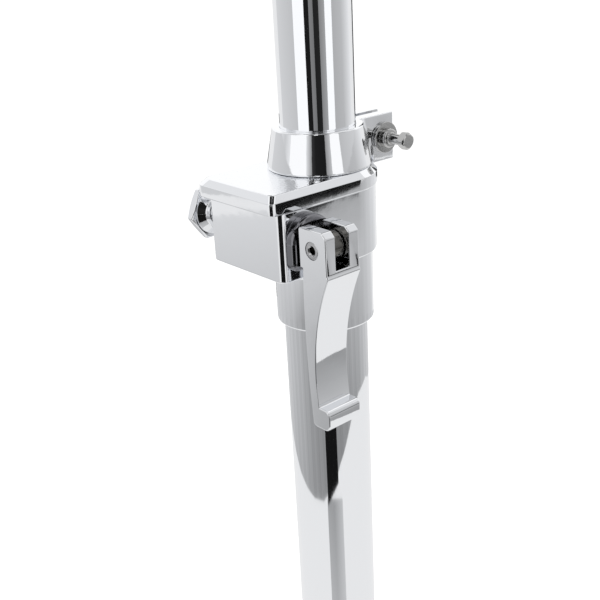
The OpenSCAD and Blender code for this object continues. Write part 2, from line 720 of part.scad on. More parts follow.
module square_nut(y_face) difference() {
  translate([-key_nut_w / 2, y_face, -key_nut_w / 2]) cube([key_nut_w, key_nut_t, key_nut_w]);
  y_rod(key_d / 2 + fit, y_face - bite, y_face + key_nut_t + bite);
}

module key_bolt() color("silver") on_axis() translate([key_x, 0, key_z])
  square_bolt(ear_width / 2, ear_width / 2 + key_nut_t + bolt_proud);

module key_washer() color("silver") on_axis() translate([key_x, 0, key_z]) difference() {
  y_rod(key_washer_d / 2, -ear_width / 2 - key_washer_t, -ear_width / 2);
  y_rod(key_d / 2 + fit, -ear_width, 0);
}

module key_nut() color("silver") on_axis() translate([key_x, 0, key_z])
  square_nut(ear_width / 2);

module upper_tube() color("silver") on_axis()
  pipe(upper_r, upper_r - upper_wall, upper_hidden + upper_top - lock_z, lock_z - upper_hidden);

// Socket on the upper tube, slotted above it and closed by a wing bolt through two ears
module upper_socket() color("silver") on_axis() difference() {
  union() {
    translate([0, 0, socket_z]) cylinder(r = socket_r, h = socket_h);
    translate([0, -socket_ear_w / 2, socket_top - socket_ear_h])
      cube([socket_r + socket_ear, socket_ear_w, socket_ear_h]);
  }
  translate([0, 0, socket_z - bite]) cylinder(r = upper_r, h = socket_h + 2 * bite);
  translate([0, -socket_slot / 2, upper_top])
    cube([socket_r + socket_ear + bite, socket_slot, socket_top - upper_top + bite]);
  translate([socket_key_x, 0, socket_bolt_z])
    y_rod(wing_screw_d / 2 + fit, -socket_ear_w, socket_ear_w);
}

// Plastic bush in the socket, standing on the upper tube's end
module socket_bush() color("#1c1c1c") on_axis() difference() {
  pipe(upper_r, top_r + tube_play, socket_top - upper_top, upper_top);
  translate([0, -socket_slot / 2, upper_top - bite])
    cube([2 * upper_r, socket_slot, socket_h]);
}

// Wing bolt through the ears; its wings stand off on a neck
module socket_wing_bolt() color("silver") on_axis()
  translate([socket_key_x, 0, socket_bolt_z]) {
    y_rod(wing_screw_d / 2, -socket_wing_y, socket_ear_w / 2 + socket_nut_t + bolt_proud);
    y_rod(wing_hub_d / 2, -socket_wing_y, -socket_ear_w / 2 - rest_gap);
    translate([0, -socket_wing_y, 0]) rotate([90, 0, 0]) wings(0);
  }

module socket_nut() color("silver") on_axis() translate([socket_key_x, 0, socket_bolt_z])
  difference() {
    translate([0, socket_ear_w / 2, 0]) rotate([-90, 0, 0])
      cylinder(d = socket_nut_flats / cos(30), h = socket_nut_t, $fn = 6);
    y_rod(wing_screw_d / 2 + fit, 0, socket_ear_w);
  }

// Places its children round the axis, turned so that the second lock's ears point to -X
module at_lock2() { on_axis() rotate([0, 0, 180]) children(); }

// Plain ring on the top tube that keeps its height
module second_lock() color("silver") at_lock2() difference() {
  union() {
    translate([0, 0, lock2_z]) cylinder(r = lock2_r, h = lock2_h);
    translate([0, -ear_width / 2, lock2_z]) cube([lock2_reach, ear_width, lock2_h]);
  }
  translate([0, 0, lock2_z - bite]) cylinder(r = top_r + tube_play, h = lock2_h + 2 * bite);
  translate([0, -ear_gap / 2, lock2_z - bite])
    cube([lock2_reach + bite, ear_gap, lock2_h + 2 * bite]);
  translate([lock2_key_x, 0, lock2_key_z]) y_rod(key_d / 2 + fit, -ear_width, ear_width);
}

module second_key_bolt() color("silver") at_lock2() translate([lock2_key_x, 0, lock2_key_z])
  square_bolt(ear_width / 2, ear_width / 2 + key_nut_t + bolt_proud);

module second_key_nut() color("silver") at_lock2() translate([lock2_key_x, 0, lock2_key_z])
  square_nut(ear_width / 2);

module top_tube() color("silver") on_axis()
  pipe(top_r, top_r - top_wall, top_hidden + top_end - lock2_z, lock2_z - top_hidden);

// Cap on the top tube with one upright disc
module tilter_base() color("silver") on_axis() difference() {
  union() {
    translate([0, 0, top_end - tilter_h]) cylinder(r = tilter_r, h = tilter_h + tilter_wall);
    translate([0, 0, tilter_axis]) y_rod(disc_d / 2, -disc_gap / 2 - disc_t, -disc_gap / 2);
    intersection() {
      translate([-disc_d / 2, -disc_gap / 2 - disc_t, top_end])
        cube([disc_d, disc_t, tilter_axis - top_end]);
      translate([0, 0, top_end]) cylinder(r = tilter_r, h = tilter_axis - top_end);
    }
  }
  translate([0, 0, top_end - tilter_h - bite]) cylinder(r = top_r, h = tilter_h + bite);
  translate([0, 0, tilter_axis]) y_rod(wing_screw_d / 2 + fit, -2 * disc_t, 2 * disc_t);
  translate([-disc_d, -disc_gap / 2, tilter_axis - disc_d / 2 - rest_gap])
    cube([2 * disc_d, 2 * disc_d, disc_d]);
}

// Matching disc with the boss that holds the rod
module tilter_head() color("silver") on_axis() difference() {
  union() {
    translate([0, 0, tilter_axis]) y_rod(disc_d / 2, disc_gap / 2, disc_face);
    translate([0, rod_y, tilter_axis + boss_foot])
      cylinder(d = boss_d, h = disc_d / 2 + boss_h - boss_foot);
  }
  translate([-boss_d, -boss_d, tilter_axis - disc_d])
    cube([2 * boss_d, boss_d + disc_gap / 2, 4 * disc_d]);
  translate([0, 0, tilter_axis]) y_rod(wing_screw_d / 2 + fit, -disc_t, 3 * disc_t);
  translate([0, rod_y, boss_top - rod_depth]) cylinder(d = rod_d, h = rod_depth + bite);
}

// Bolt through both discs, with a flat head in front
module tilter_bolt() color("silver") on_axis() translate([0, 0, tilter_axis]) {
  y_rod(wing_screw_d / 2, -disc_face, tilt_wing_y + wing_hub_h + bolt_proud);
  y_rod(wing_screw_d * 0.8, -disc_face - tilt_head_t, -disc_face);
}

// Wing nut on the tilter's bolt; its neck reaches to the disc
module tilter_wing_nut() color("silver") on_axis() translate([0, 0, tilter_axis]) {
  translate([0, tilt_wing_y, 0]) rotate([-90, 0, 0]) wings(wing_screw_d / 2 + fit);
  difference() {
    y_rod(wing_hub_d / 2, disc_face + rest_gap, tilt_wing_y);
    y_rod(wing_screw_d / 2 + fit, 0, tilt_wing_y + bite);
  }
}

// Rod with a plain tip that finds the nut's thread
module cymbal_rod() color("silver") on_axis() translate([0, rod_y, boss_top]) {
  translate([0, 0, -rod_depth]) cylinder(d = rod_d, h = rod_depth + tip_z - tip_taper);
  translate([0, 0, tip_z - tip_taper]) cylinder(d1 = rod_d, d2 = tip_d, h = tip_taper);
  translate([0, 0, tip_z]) cylinder(d = tip_d, h = tip_len);
}

module cup_washer() color("silver") on_axis() translate([0, rod_y, cup_z]) difference() {
  cylinder(d = cup_d, h = cup_t);
  translate([0, 0, -bite]) cylinder(r = rod_d / 2 + fit, h = cup_t + 2 * bite);
}

// Plastic sleeve that the cymbal's hole sits on
module cymbal_sleeve() color("#1c1c1c") on_axis() translate([0, rod_y, sleeve_z]) difference() {
  union() {
    cylinder(d = cymbal_sleeve_d + 2 * flange_w, h = sleeve_flange_t);
    cylinder(d = cymbal_sleeve_d, h = sleeve_flange_t + cymbal_sleeve_len);
  }
  translate([0, 0, -bite]) cylinder(r = rod_d / 2 + fit, h = cymbal_sleeve_len + 4 * bite);
}

// Felt washer with a crowned rim
module felt(h) difference() {
  union() {
    for (top = [0, 1]) translate([0, 0, top * h]) mirror([0, 0, top]) {
      cylinder(d1 = felt_d - 2 * h * felt_crown, d2 = felt_d, h = h * felt_crown);
      translate([0, 0, h * felt_crown]) cylinder(d = felt_d, h = h / 2 - h * felt_crown);
    }
  }
  translate([0, 0, -bite]) cylinder(r = cymbal_sleeve_d / 2 + fit, h = h + 2 * bite);
}

module lower_felt() color("#4a4a4a") on_axis() translate([0, rod_y, felt_z]) felt(felt_low_t);

module upper_felt() color("#4a4a4a") on_axis() translate([0, rod_y, felt_up_z]) felt(felt_up_t);

module top_washer() color("silver") on_axis() translate([0, rod_y, top_washer_z]) difference() {
  cylinder(d = top_washer_d, h = top_washer_t);
  translate([0, 0, -bite]) cylinder(r = cymbal_sleeve_d / 2 + fit, h = top_washer_t + 2 * bite);
}

module top_wing_nut() color("silver") on_axis() translate([0, rod_y, top_nut_z])
  wings(rod_d / 2 + fit);

lower_tube();
tube_plug();
leg_hub();
hub_pins();
leg_bars(1);  // leg_bars_1
leg_bars(2);  // leg_bars_2
leg_bars(3);  // leg_bars_3
leg_rivets(1);  // leg_rivets_1
leg_rivets(2);  // leg_rivets_2
leg_rivets(3);  // leg_rivets_3
rubber_foot(1);  // rubber_foot_1
rubber_foot(2);  // rubber_foot_2
rubber_foot(3);  // rubber_foot_3
brace_links(1);  // brace_links_1
brace_links(2);  // brace_links_2
brace_links(3);  // brace_links_3
leg_collar();
collar_bush();
collar_pins();
collar_wing_screw();
clamp_sleeve();
clamp_block();
clamp_shoes();
top_plate();
guide_bush();
cam_saddle();
cross_bolt();
lever_pin();
clamp_lever();
hand_nut();
nut_washer();
memory_lock();
key_bolt();
key_washer();
key_nut();
upper_tube();
upper_socket();
socket_bush();
socket_wing_bolt();
socket_nut();
second_lock();
second_key_bolt();
second_key_nut();
top_tube();
tilter_base();
tilter_head();
tilter_bolt();
tilter_wing_nut();
cymbal_rod();
cup_washer();
cymbal_sleeve();
lower_felt();
upper_felt();
top_washer();
top_wing_nut();
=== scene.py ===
"""Looks of the cymbal stand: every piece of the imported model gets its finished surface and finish."""

import math

import bmesh
import bpy
from mathutils import Matrix, Vector


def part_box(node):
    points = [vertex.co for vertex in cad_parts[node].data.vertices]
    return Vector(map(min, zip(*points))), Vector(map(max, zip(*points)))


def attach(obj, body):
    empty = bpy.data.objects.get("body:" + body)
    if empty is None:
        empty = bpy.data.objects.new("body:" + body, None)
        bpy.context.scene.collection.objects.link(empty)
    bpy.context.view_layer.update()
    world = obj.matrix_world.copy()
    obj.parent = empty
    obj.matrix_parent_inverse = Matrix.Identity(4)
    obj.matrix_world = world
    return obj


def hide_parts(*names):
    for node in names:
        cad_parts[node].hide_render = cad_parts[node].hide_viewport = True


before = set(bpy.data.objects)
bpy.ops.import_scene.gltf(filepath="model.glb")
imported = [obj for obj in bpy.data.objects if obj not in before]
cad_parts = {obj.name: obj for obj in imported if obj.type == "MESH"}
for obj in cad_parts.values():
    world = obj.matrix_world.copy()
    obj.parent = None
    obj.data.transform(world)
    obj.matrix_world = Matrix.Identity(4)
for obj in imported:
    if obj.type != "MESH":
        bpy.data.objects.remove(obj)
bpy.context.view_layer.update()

# Lower tube
# Drawn steel tube, 35 mm outside, polished and chrome plated. Its lower end stands in the
# hub over a rubber plug, and its upper end is pressed into the sleeve of the main clamp.
MM = 0.001


def feed(tree, socket, source):
    """Gives an input a value, or wires an output to it: a node stands for its first output."""
    if isinstance(source, bpy.types.Node):
        source = source.outputs[0]
    if isinstance(source, bpy.types.NodeSocket):
        tree.links.new(source, socket)
    else:
        socket.default_value = source


def add(tree, kind, *numbered, operation=None, group=None, **named):
    """New node, its inputs fed in order or by name, where an underscore stands for a space."""
    node = tree.nodes.new(kind)
    if operation:
        node.operation = operation
    if group:
        node.node_tree = group
    for socket, source in zip(node.inputs, numbered):
        feed(tree, socket, source)
    for label, source in named.items():
        feed(tree, node.inputs[label.replace("_", " ")], source)
    return node


def node_group(name, kind, inputs, outputs):
    """Node group and its two ends: inputs are (name, kind, value) and outputs (name, kind)."""
    group = bpy.data.node_groups.new(name, kind)
    for label, socket_kind, value in inputs:
        socket = group.interface.new_socket(label, in_out="INPUT", socket_type="NodeSocket" + socket_kind)
        if value is not None:
            socket.default_value = value
    for label, socket_kind in outputs:
        group.interface.new_socket(label, in_out="OUTPUT", socket_type="NodeSocket" + socket_kind)
    return group, add(group, "NodeGroupInput").outputs, add(group, "NodeGroupOutput").inputs


def handling_marks():
    """Faint smears and hairlines that cleaning cloths leave on plated metal."""
    group, given, out = node_group("handling_marks", "ShaderNodeTree",
        [("Smear size", "Float", 30.0), ("Hairline size", "Float", 900.0),
        ("Clean roughness", "Float", 0.03), ("Smeared roughness", "Float", 0.09)],
        [("Roughness", "Float"), ("Height", "Float")])
    place = add(group, "ShaderNodeTexCoord").outputs["Object"]
    smear = add(group, "ShaderNodeTexNoise", Vector=place, Scale=given["Smear size"], Detail=3.0)
    stretch = add(group, "ShaderNodeMapping", Vector=place, Scale=(1.0, 1.0, 0.06), Rotation=(0.25, 0.1, 0.0))
    hairline = add(group, "ShaderNodeTexNoise", Vector=stretch, Scale=given["Hairline size"])
    spread = add(group, "ShaderNodeMapRange", Value=smear, From_Min=0.42, From_Max=0.72,
        To_Min=given["Clean roughness"], To_Max=given["Smeared roughness"])
    feed(group, out["Roughness"], spread)
    feed(group, out["Height"], hairline)
    return group


def cast_skin():
    """Shallow swell of a die casting that shows under thin plating."""
    group, given, out = node_group("cast_skin", "ShaderNodeTree",
        [("Swell size", "Float", 140.0), ("Grain size", "Float", 1400.0), ("Grain share", "Float", 0.25)],
        [("Height", "Float")])
    place = add(group, "ShaderNodeTexCoord").outputs["Object"]
    swell = add(group, "ShaderNodeTexNoise", Vector=place, Scale=given["Swell size"], Detail=1.0)
    grain = add(group, "ShaderNodeTexNoise", Vector=place, Scale=given["Grain size"])
    both = add(group, "ShaderNodeMix", Factor=given["Grain share"], A=swell, B=grain)
    feed(group, out["Height"], both)
    return group


MARKS = handling_marks()
SKIN = cast_skin()
HAIRLINE_DEPTH = 0.000002


def new_material(name):
    """Material with nodes: the material, its tree and the inputs of its shader."""
    material = bpy.data.materials.new(name)
    material.use_nodes = True
    return material, material.node_tree, material.node_tree.nodes["Principled BSDF"].inputs


def plated(name, colour, clean, smeared, skin_depth=0.0, swell=140.0, grain=0.25):
    """Plated metal: a mirror with handling marks, and with the swell of a casting where it has one."""
    material, tree, shader = new_material(name)
    feed(tree, shader["Base Color"], (*colour, 1.0))
    feed(tree, shader["Metallic"], 1.0)
    marks = add(tree, "ShaderNodeGroup", group=MARKS, Clean_roughness=clean, Smeared_roughness=smeared)
    feed(tree, shader["Roughness"], marks.outputs["Roughness"])
    bump = add(tree, "ShaderNodeBump", Strength=1.0, Distance=HAIRLINE_DEPTH, Height=marks.outputs["Height"])
    if skin_depth:
        skin = add(tree, "ShaderNodeGroup", group=SKIN, Swell_size=swell, Grain_share=grain)
        under = add(tree, "ShaderNodeBump", Distance=skin_depth, Height=skin)
        feed(tree, bump.inputs["Normal"], under)
    feed(tree, shader["Normal"], bump)
    return material


TUBE_CHROME = plated("tube_chrome", (0.87, 0.88, 0.9), 0.02, 0.05)
CAST_CHROME = plated("cast_chrome", (0.87, 0.88, 0.9), 0.03, 0.07, skin_depth=0.00003, grain=0.05)
BAR_CHROME = plated("bar_chrome", (0.84, 0.85, 0.87), 0.05, 0.12, skin_depth=0.00003, swell=90.0)
ZINC_STEEL = plated("zinc_steel", (0.78, 0.79, 0.81), 0.06, 0.16, skin_depth=0.00002, swell=300.0, grain=0.3)


def rounded(corners, steps=4):
    """Outline with its corners rounded: each corner is (x, y, radius)."""
    outline = []
    for i, (x, y, radius) in enumerate(corners):
        corner = Vector((x, y))
        back = (Vector(corners[i - 1][:2]) - corner).normalized()
        ahead = (Vector(corners[(i + 1) % len(corners)][:2]) - corner).normalized()
        if radius <= 0.0:
            outline.append(corner)
            continue
        half = back.angle(ahead) / 2
        centre = corner + (back + ahead).normalized() * (radius / math.sin(half))
        start = corner + back * (radius / math.tan(half)) - centre
        end = corner + ahead * (radius / math.tan(half)) - centre
        sweep = math.atan2(start.cross(end), start.dot(end))
        for k in range(steps + 1):
            outline.append(centre + Matrix.Rotation(sweep * k / steps, 2) @ start)
    return outline


def new_piece(name, mesh):
    piece = bpy.data.objects.new(name, mesh)
    bpy.context.scene.collection.objects.link(piece)
    return piece


def from_shape(name, shape, place):
    """New piece from a shape that is drawn in millimetres."""
    bmesh.ops.recalc_face_normals(shape, faces=shape.faces)
    mesh = bpy.data.meshes.new(name)
    shape.to_mesh(mesh)
    shape.free()
    mesh.transform(place @ Matrix.Scale(MM, 4))
    return new_piece(name, mesh)


def turned(name, corners, place, sides=128, steps=4):
    """Piece turned on a lathe: corners are (radius, height, corner radius) in millimetres."""
    shape = bmesh.new()
    angles = [2 * math.pi * k / sides for k in range(sides)]
    rings = []
    for radius, height in rounded(corners, steps):
        if radius < 1e-6:
            rings.append([shape.verts.new((0.0, 0.0, height))])
        else:
            rings.append([shape.verts.new((radius * math.cos(a), radius * math.sin(a), height))
                for a in angles])
    for low, high in zip(rings, rings[1:] + rings[:1]):
        if len(low) == 1 and len(high) == 1:
            continue
        for k in range(sides):
            after = (k + 1) % sides
            loop = [low[k % len(low)], low[after % len(low)], high[after % len(high)], high[k % len(high)]]
            shape.faces.new(list(dict.fromkeys(loop)))
    return from_shape(name, shape, place)


def settled(piece):
    """The piece with its modifiers made part of its mesh."""
    graph = bpy.context.evaluated_depsgraph_get()
    mesh = bpy.data.meshes.new_from_object(piece.evaluated_get(graph), depsgraph=graph)
    piece.modifiers.clear()
    old = piece.data
    piece.data = mesh
    if old.users == 0:
        remove = bpy.data.meshes if isinstance(old, bpy.types.Mesh) else bpy.data.curves
        remove.remove(old)
    return piece


def cleaned(piece):
    """Doubles merged and faces turned outwards."""
    shape = bmesh.new()
    shape.from_mesh(piece.data)
    bmesh.ops.remove_doubles(shape, verts=shape.verts, dist=1e-7)
    bmesh.ops.dissolve_degenerate(shape, edges=shape.edges, dist=1e-7)
    bmesh.ops.recalc_face_normals(shape, faces=shape.faces)
    shape.to_mesh(piece.data)
    shape.free()
    return piece


def smooth(piece, angle):
    """Smooth shading with crisp corners, its normals led by the large faces."""
    mesh = piece.data
    mesh.shade_smooth()
    mesh.set_sharp_from_angle(angle=math.radians(angle))
    weigh = piece.modifiers.new("weigh", "WEIGHTED_NORMAL")
    weigh.mode = "FACE_AREA"
    weigh.keep_sharp = True
    return settled(piece)


def fitted(piece, body, finish, slot_name, *nodes, angle=34.0):
    """Smooths the piece, gives it its finish and its body, and hides the CAD nodes that it stands for."""
    if angle:
        smooth(piece, angle)
    piece.data.materials.clear()
    piece.data.materials.append(finish)
    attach(piece, body)
    if nodes:
        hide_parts(*nodes)
    return piece


def upright(x, y, z=0.0):
    return Matrix.Translation((x, y, z))


def extent(node, axis):
    """Low and high end of a CAD node along an axis, in millimetres."""
    low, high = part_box(node)
    return getattr(low, axis) / MM, getattr(high, axis) / MM


def half_size(node, axis):
    """Half the size of a CAD node along an axis, in millimetres."""
    low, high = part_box(node)
    return (getattr(high, axis) - getattr(low, axis)) / 2 / MM


def middle(node, axis):
    """Middle of a CAD node along an axis, in metres."""
    low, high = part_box(node)
    return (getattr(low, axis) + getattr(high, axis)) / 2


TUBE_END = extent("lower_tube", "z")[0]
AXIS_X = middle("lower_tube", "x")
ON_AXIS = upright(AXIS_X, 0.0)


def reaches(node):
    """How far a CAD node stands out from the axis to the left and to the right, in millimetres."""
    low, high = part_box(node)
    return (AXIS_X - low.x) / MM, (high.x - AXIS_X) / MM


def pipe_corners(outer, inner, low, high, edge, bore_edge=None):
    """Profile of a pipe or ring."""
    inside = edge if bore_edge is None else bore_edge
    return [(inner, low, inside), (outer, low, edge), (outer, high, edge), (inner, high, inside)]


def bar_corners(radius, low, high, low_edge=0.0, high_edge=0.0):
    """Profile of a round bar."""
    return [(0, low, 0), (radius, low, low_edge), (radius, high, high_edge), (0, high, 0)]


LOWER_R = half_size("lower_tube", "x")
LOWER_WALL = 1.5
PLAY = 0.05


def fitted_pipe(name, axis, outer, inner, place, body, finish, slot_name, node, edge=0.4, sides=128):
    """Tube, bush or washer with the ends of its CAD node."""
    pipe = turned(name, pipe_corners(outer, inner, *extent(node, axis), edge), place, sides)
    return fitted(pipe, body, finish, slot_name, node)


fitted_pipe("lower_tube_shell", "z", LOWER_R, LOWER_R - LOWER_WALL, ON_AXIS, "base_tube", TUBE_CHROME,
    "chrome", "lower_tube")

# Tube plug
# Moulded rubber plug in the tube's lower end, with a foot as wide as the tube.
plug_foot, plug_top = extent("tube_plug", "z")


def two_tones(tree, source, low, dark, high, light):
    """Colour that runs from dark where the source is low to light where it is high."""
    ramp = add(tree, "ShaderNodeValToRGB", Fac=source)
    for stop, position, tone in zip(ramp.color_ramp.elements, (low, high), (dark, light)):
        stop.position = position
        stop.color = (*tone, 1.0)
    return ramp


def moulded(name, colour, roughness, grain_size, depth):
    """Moulded plastic or rubber: fine grain, with dust in its colour and a slow change of sheen."""
    material, tree, shader = new_material(name)
    place = add(tree, "ShaderNodeTexCoord").outputs["Object"]
    dust = add(tree, "ShaderNodeTexNoise", Vector=place, Scale=60.0, Detail=4.0)
    feed(tree, shader["Base Color"],
        two_tones(tree, dust, 0.4, colour, 0.85, [c * 1.8 + 0.008 for c in colour]))
    sheen = add(tree, "ShaderNodeMapRange", Value=dust, To_Min=roughness - 0.08, To_Max=roughness + 0.12)
    feed(tree, shader["Roughness"], sheen)
    skin = add(tree, "ShaderNodeGroup", group=SKIN, Swell_size=grain_size / 6, Grain_size=grain_size,
        Grain_share=0.7)
    bump = add(tree, "ShaderNodeBump", Distance=depth, Height=skin)
    feed(tree, shader["Normal"], bump)
    return material


NYLON = moulded("black_nylon", (0.018, 0.018, 0.019), 0.38, 2200.0, 0.00003)
RUBBER = moulded("black_rubber", (0.022, 0.022, 0.022), 0.62, 1600.0, 0.00008)
plug = turned("tube_plug_rubber", [(0, plug_foot, 0), (LOWER_R, plug_foot, 1.5), (LOWER_R, TUBE_END, 0.3),
    (LOWER_R - LOWER_WALL, TUBE_END, 0), (LOWER_R - LOWER_WALL, plug_top, 1.0), (0, plug_top, 0)], ON_AXIS)
fitted(plug, "base_tube", RUBBER, "rubber", "tube_plug")

# Leg hub
# Cast ring on the tube's lower end with three lugs, each between the two links of a brace.
HUB_FOOT, HUB_TOP = extent("leg_hub", "z")
HUB_R = LOWER_R + 5.5
PIVOT_R = 35.0
HUB_PIN_Z = (HUB_FOOT + HUB_TOP) / 2
RAIL_T = 2.5
RAIL_W = 16.0
LINK_T = 2.5
LINK_W = 13.0
LUG_T = 10.0
SIDE_GAP = 0.3
PIN_SHAFT_R = 2.5
PIN_HEAD_T = 1.6
RAIL_IN = LUG_T / 2 + SIDE_GAP
RAIL_OUT = RAIL_IN + RAIL_T
LINK_IN = RAIL_OUT + SIDE_GAP
LINK_OUT = LINK_IN + LINK_T
LEG_ANGLE = math.radians(48.0)
LEG_LEN = 460.0
BRACE_LEN = 210.0
ALONG_Y = Matrix.Rotation(-math.pi / 2, 4, "X")


def combined(piece, operation, others):
    """Exact boolean of the piece and the others, which it uses up."""
    for other in others:
        step = piece.modifiers.new("step", "BOOLEAN")
        step.operation = operation
        step.solver = "EXACT"
        step.object = other
    settled(piece)
    for other in others:
        bpy.data.objects.remove(other)
    return cleaned(piece)


def carved(piece, *cutters):
    return combined(piece, "DIFFERENCE", cutters)


def joined(piece, *others):
    return combined(piece, "UNION", others)


def brick(low, high, place):
    """Plain block between two corners, used to cut with or to join on."""
    shape = bmesh.new()
    bmesh.ops.create_cube(shape, size=1.0)
    mesh = bpy.data.meshes.new("brick")
    shape.to_mesh(mesh)
    shape.free()
    middle = (Vector(low) + Vector(high)) / 2
    size = Vector(high) - Vector(low)
    mesh.transform(place @ Matrix.Scale(MM, 4) @ Matrix.Translation(middle) @ Matrix.Diagonal((*size, 1.0)))
    return new_piece("brick", mesh)


def rims(low, high, low_edge, high_edge, depth, steps):
    """Levels of a block with rounded rims at both ends."""
    return rounded([(depth, low, 0), (0, low, low_edge), (0, high, high_edge), (depth, high, 0)], steps)


def lofted(name, outline_at, levels, place):
    """Block whose outline is drawn in by an amount at each height: levels are (inset, height) corners."""
    rings = [[(p.x, p.y, height) for p in outline_at(inset)] for inset, height in levels]
    shape = bmesh.new()
    rows = [[shape.verts.new(p) for p in ring] for ring in rings]
    count = len(rows[0])
    for low, high in zip(rows, rows[1:]):
        for k in range(count):
            shape.faces.new((low[k], low[(k + 1) % count], high[(k + 1) % count], high[k]))
    shape.faces.new(rows[0])
    shape.faces.new(rows[-1])
    return from_shape(name, shape, place)


def rod(radius, start, end, place, sides=96):
    """Plain round cutter along the place's Z."""
    return turned("rod", bar_corners(radius, start, end), place, sides)


def extruded(name, outline, thickness, place):
    """Outline in the place's XY plane, given an even thickness about that plane."""
    levels = [(0, -thickness / 2), (0, thickness / 2)]
    return lofted(name, lambda inset: outline, levels, place)


def eased(piece, width, segments=3, angle=30.0):
    """Rounds every edge of the piece that is sharper than the angle."""
    shape = bmesh.new()
    shape.from_mesh(piece.data)
    bmesh.ops.dissolve_limit(shape, angle_limit=math.radians(0.4), verts=shape.verts, edges=shape.edges)
    shape.to_mesh(piece.data)
    shape.free()
    ease = piece.modifiers.new("ease", "BEVEL")
    ease.width = width * MM
    ease.segments = segments
    ease.limit_method = "ANGLE"
    ease.angle_limit = math.radians(angle)
    ease.use_clamp_overlap = False
    return settled(piece)


def arc(x, y, radius, start, end, steps):
    """Points of a round stretch, from one angle to another in degrees."""
    angles = [math.radians(start + (end - start) * k / steps) for k in range(steps + 1)]
    return [Vector((x + radius * math.cos(a), y + radius * math.sin(a))) for a in angles]


def round_axis(i):
    """The plane of leg number i, on the stand's axis."""
    return ON_AXIS @ Matrix.Rotation(math.radians(120.0 * i), 4, "Z")


def at(place, x, y, z):
    return place @ Matrix.Translation((x * MM, y * MM, z * MM))


def lugged_ring(ring, lug_half, lug_r, height):
    """Ring with three round-ended lugs whose pin holes are at the pivot radius."""
    lugs = []
    for i in range(3):
        place = round_axis(i)
        web = brick((PIVOT_R - 14, -lug_half, height - lug_r), (PIVOT_R, lug_half, height + lug_r), place)
        end = rod(lug_r, -lug_half, lug_half, at(place, PIVOT_R, 0, height) @ ALONG_Y, 64)
        lugs.append(eased(joined(web, end), 0.7, 3, 40))
    return joined(ring, *lugs)


hub_ring = turned("leg_hub_casting", pipe_corners(HUB_R, LOWER_R - 0.3, HUB_FOOT, HUB_TOP, 1.4, 0.2), ON_AXIS)
hub = lugged_ring(hub_ring, RAIL_OUT, LINK_W / 2, HUB_PIN_Z)
hub = carved(hub, rod(LOWER_R, HUB_FOOT - 1, HUB_TOP + 1, ON_AXIS, 128))
fitted(hub, "base_tube", CAST_CHROME, "chrome", "leg_hub")

# Pins and rivets of the base
# Zinc-plated steel rivets with domed heads. The hub and the collar have one pin for each
# leg, and each leg has the brace's rivet and one more with a spacer above its foot.


def ended(tree, made, finish, out):
    """Last nodes of a Geometry Nodes tree: what was made becomes real geometry with one finish."""
    real = add(tree, "GeometryNodeRealizeInstances", Geometry=made)
    painted_mesh = add(tree, "GeometryNodeSetMaterial", Geometry=real, Material=finish)
    feed(tree, out["Geometry"], painted_mesh)
    return tree


def repeat_tree():
    """Copies of a piece turned round the tubes' axis."""
    tree, given, out = node_group("repeated_round_axis", "GeometryNodeTree",
        [("Geometry", "Geometry", None), ("Count", "Int", 3), ("Axis", "Vector", (0, 0, 0)),
        ("Finish", "Material", None)], [("Geometry", "Geometry")])
    points = add(tree, "GeometryNodePoints", Count=given["Count"], Position=given["Axis"])
    index = add(tree, "GeometryNodeInputIndex")
    share = add(tree, "ShaderNodeMath", index, given["Count"], operation="DIVIDE")
    turn = add(tree, "ShaderNodeMath", share, 2 * math.pi, operation="MULTIPLY")
    angle = add(tree, "ShaderNodeCombineXYZ", Z=turn)
    copies = add(tree, "GeometryNodeInstanceOnPoints", Points=points, Instance=given["Geometry"],
        Rotation=angle)
    return ended(tree, copies, given["Finish"], out)


def grow(piece, tree, values):
    """Makes the Geometry Nodes tree's result the piece's plain mesh."""
    maker = piece.modifiers.new("maker", "NODES")
    maker.node_group = tree
    for item in tree.interface.items_tree:
        if item.item_type == "SOCKET" and item.in_out == "INPUT" and item.name in values:
            maker[item.identifier] = values[item.name]
    return cleaned(settled(piece))


REPEAT = repeat_tree()


def domed_rivet(name, half, spacer_half, place):
    """Rivet along the place's Y with domed heads outside half, and a spacer between the bars."""
    head_r = PIN_SHAFT_R * 1.7
    corners = [(0, -half - PIN_HEAD_T, 0), (head_r * 0.62, -half - PIN_HEAD_T, 1.5),
        (head_r, -half - 0.4, 0.5), (head_r, -half, 0.1), (PIN_SHAFT_R, -half, 0)]
    if spacer_half:
        corners += [(PIN_SHAFT_R, -spacer_half, 0), (4.0, -spacer_half, 0.2)]
    corners += [(x, -y, r) for x, y, r in reversed(corners)]
    return turned(name, corners, place @ ALONG_Y, 40, steps=3)


COLLAR_PIN_Z = HUB_PIN_Z + 2 * BRACE_LEN * math.cos(LEG_ANGLE)
AXIS_POINT = (AXIS_X, 0.0, 0.0)
for pins_name, height, half, owner in (("hub_pins", HUB_PIN_Z, LINK_OUT + SIDE_GAP, "base_tube"),
        ("collar_pins", COLLAR_PIN_Z, RAIL_OUT + SIDE_GAP, "collar")):
    pins = domed_rivet(pins_name + "_steel", half, 0, at(Matrix(), PIVOT_R, 0, height))
    pins = grow(pins, REPEAT, {"Count": 3, "Axis": AXIS_POINT, "Finish": ZINC_STEEL})
    fitted(pins, owner, ZINC_STEEL, "bolt_steel", pins_name)

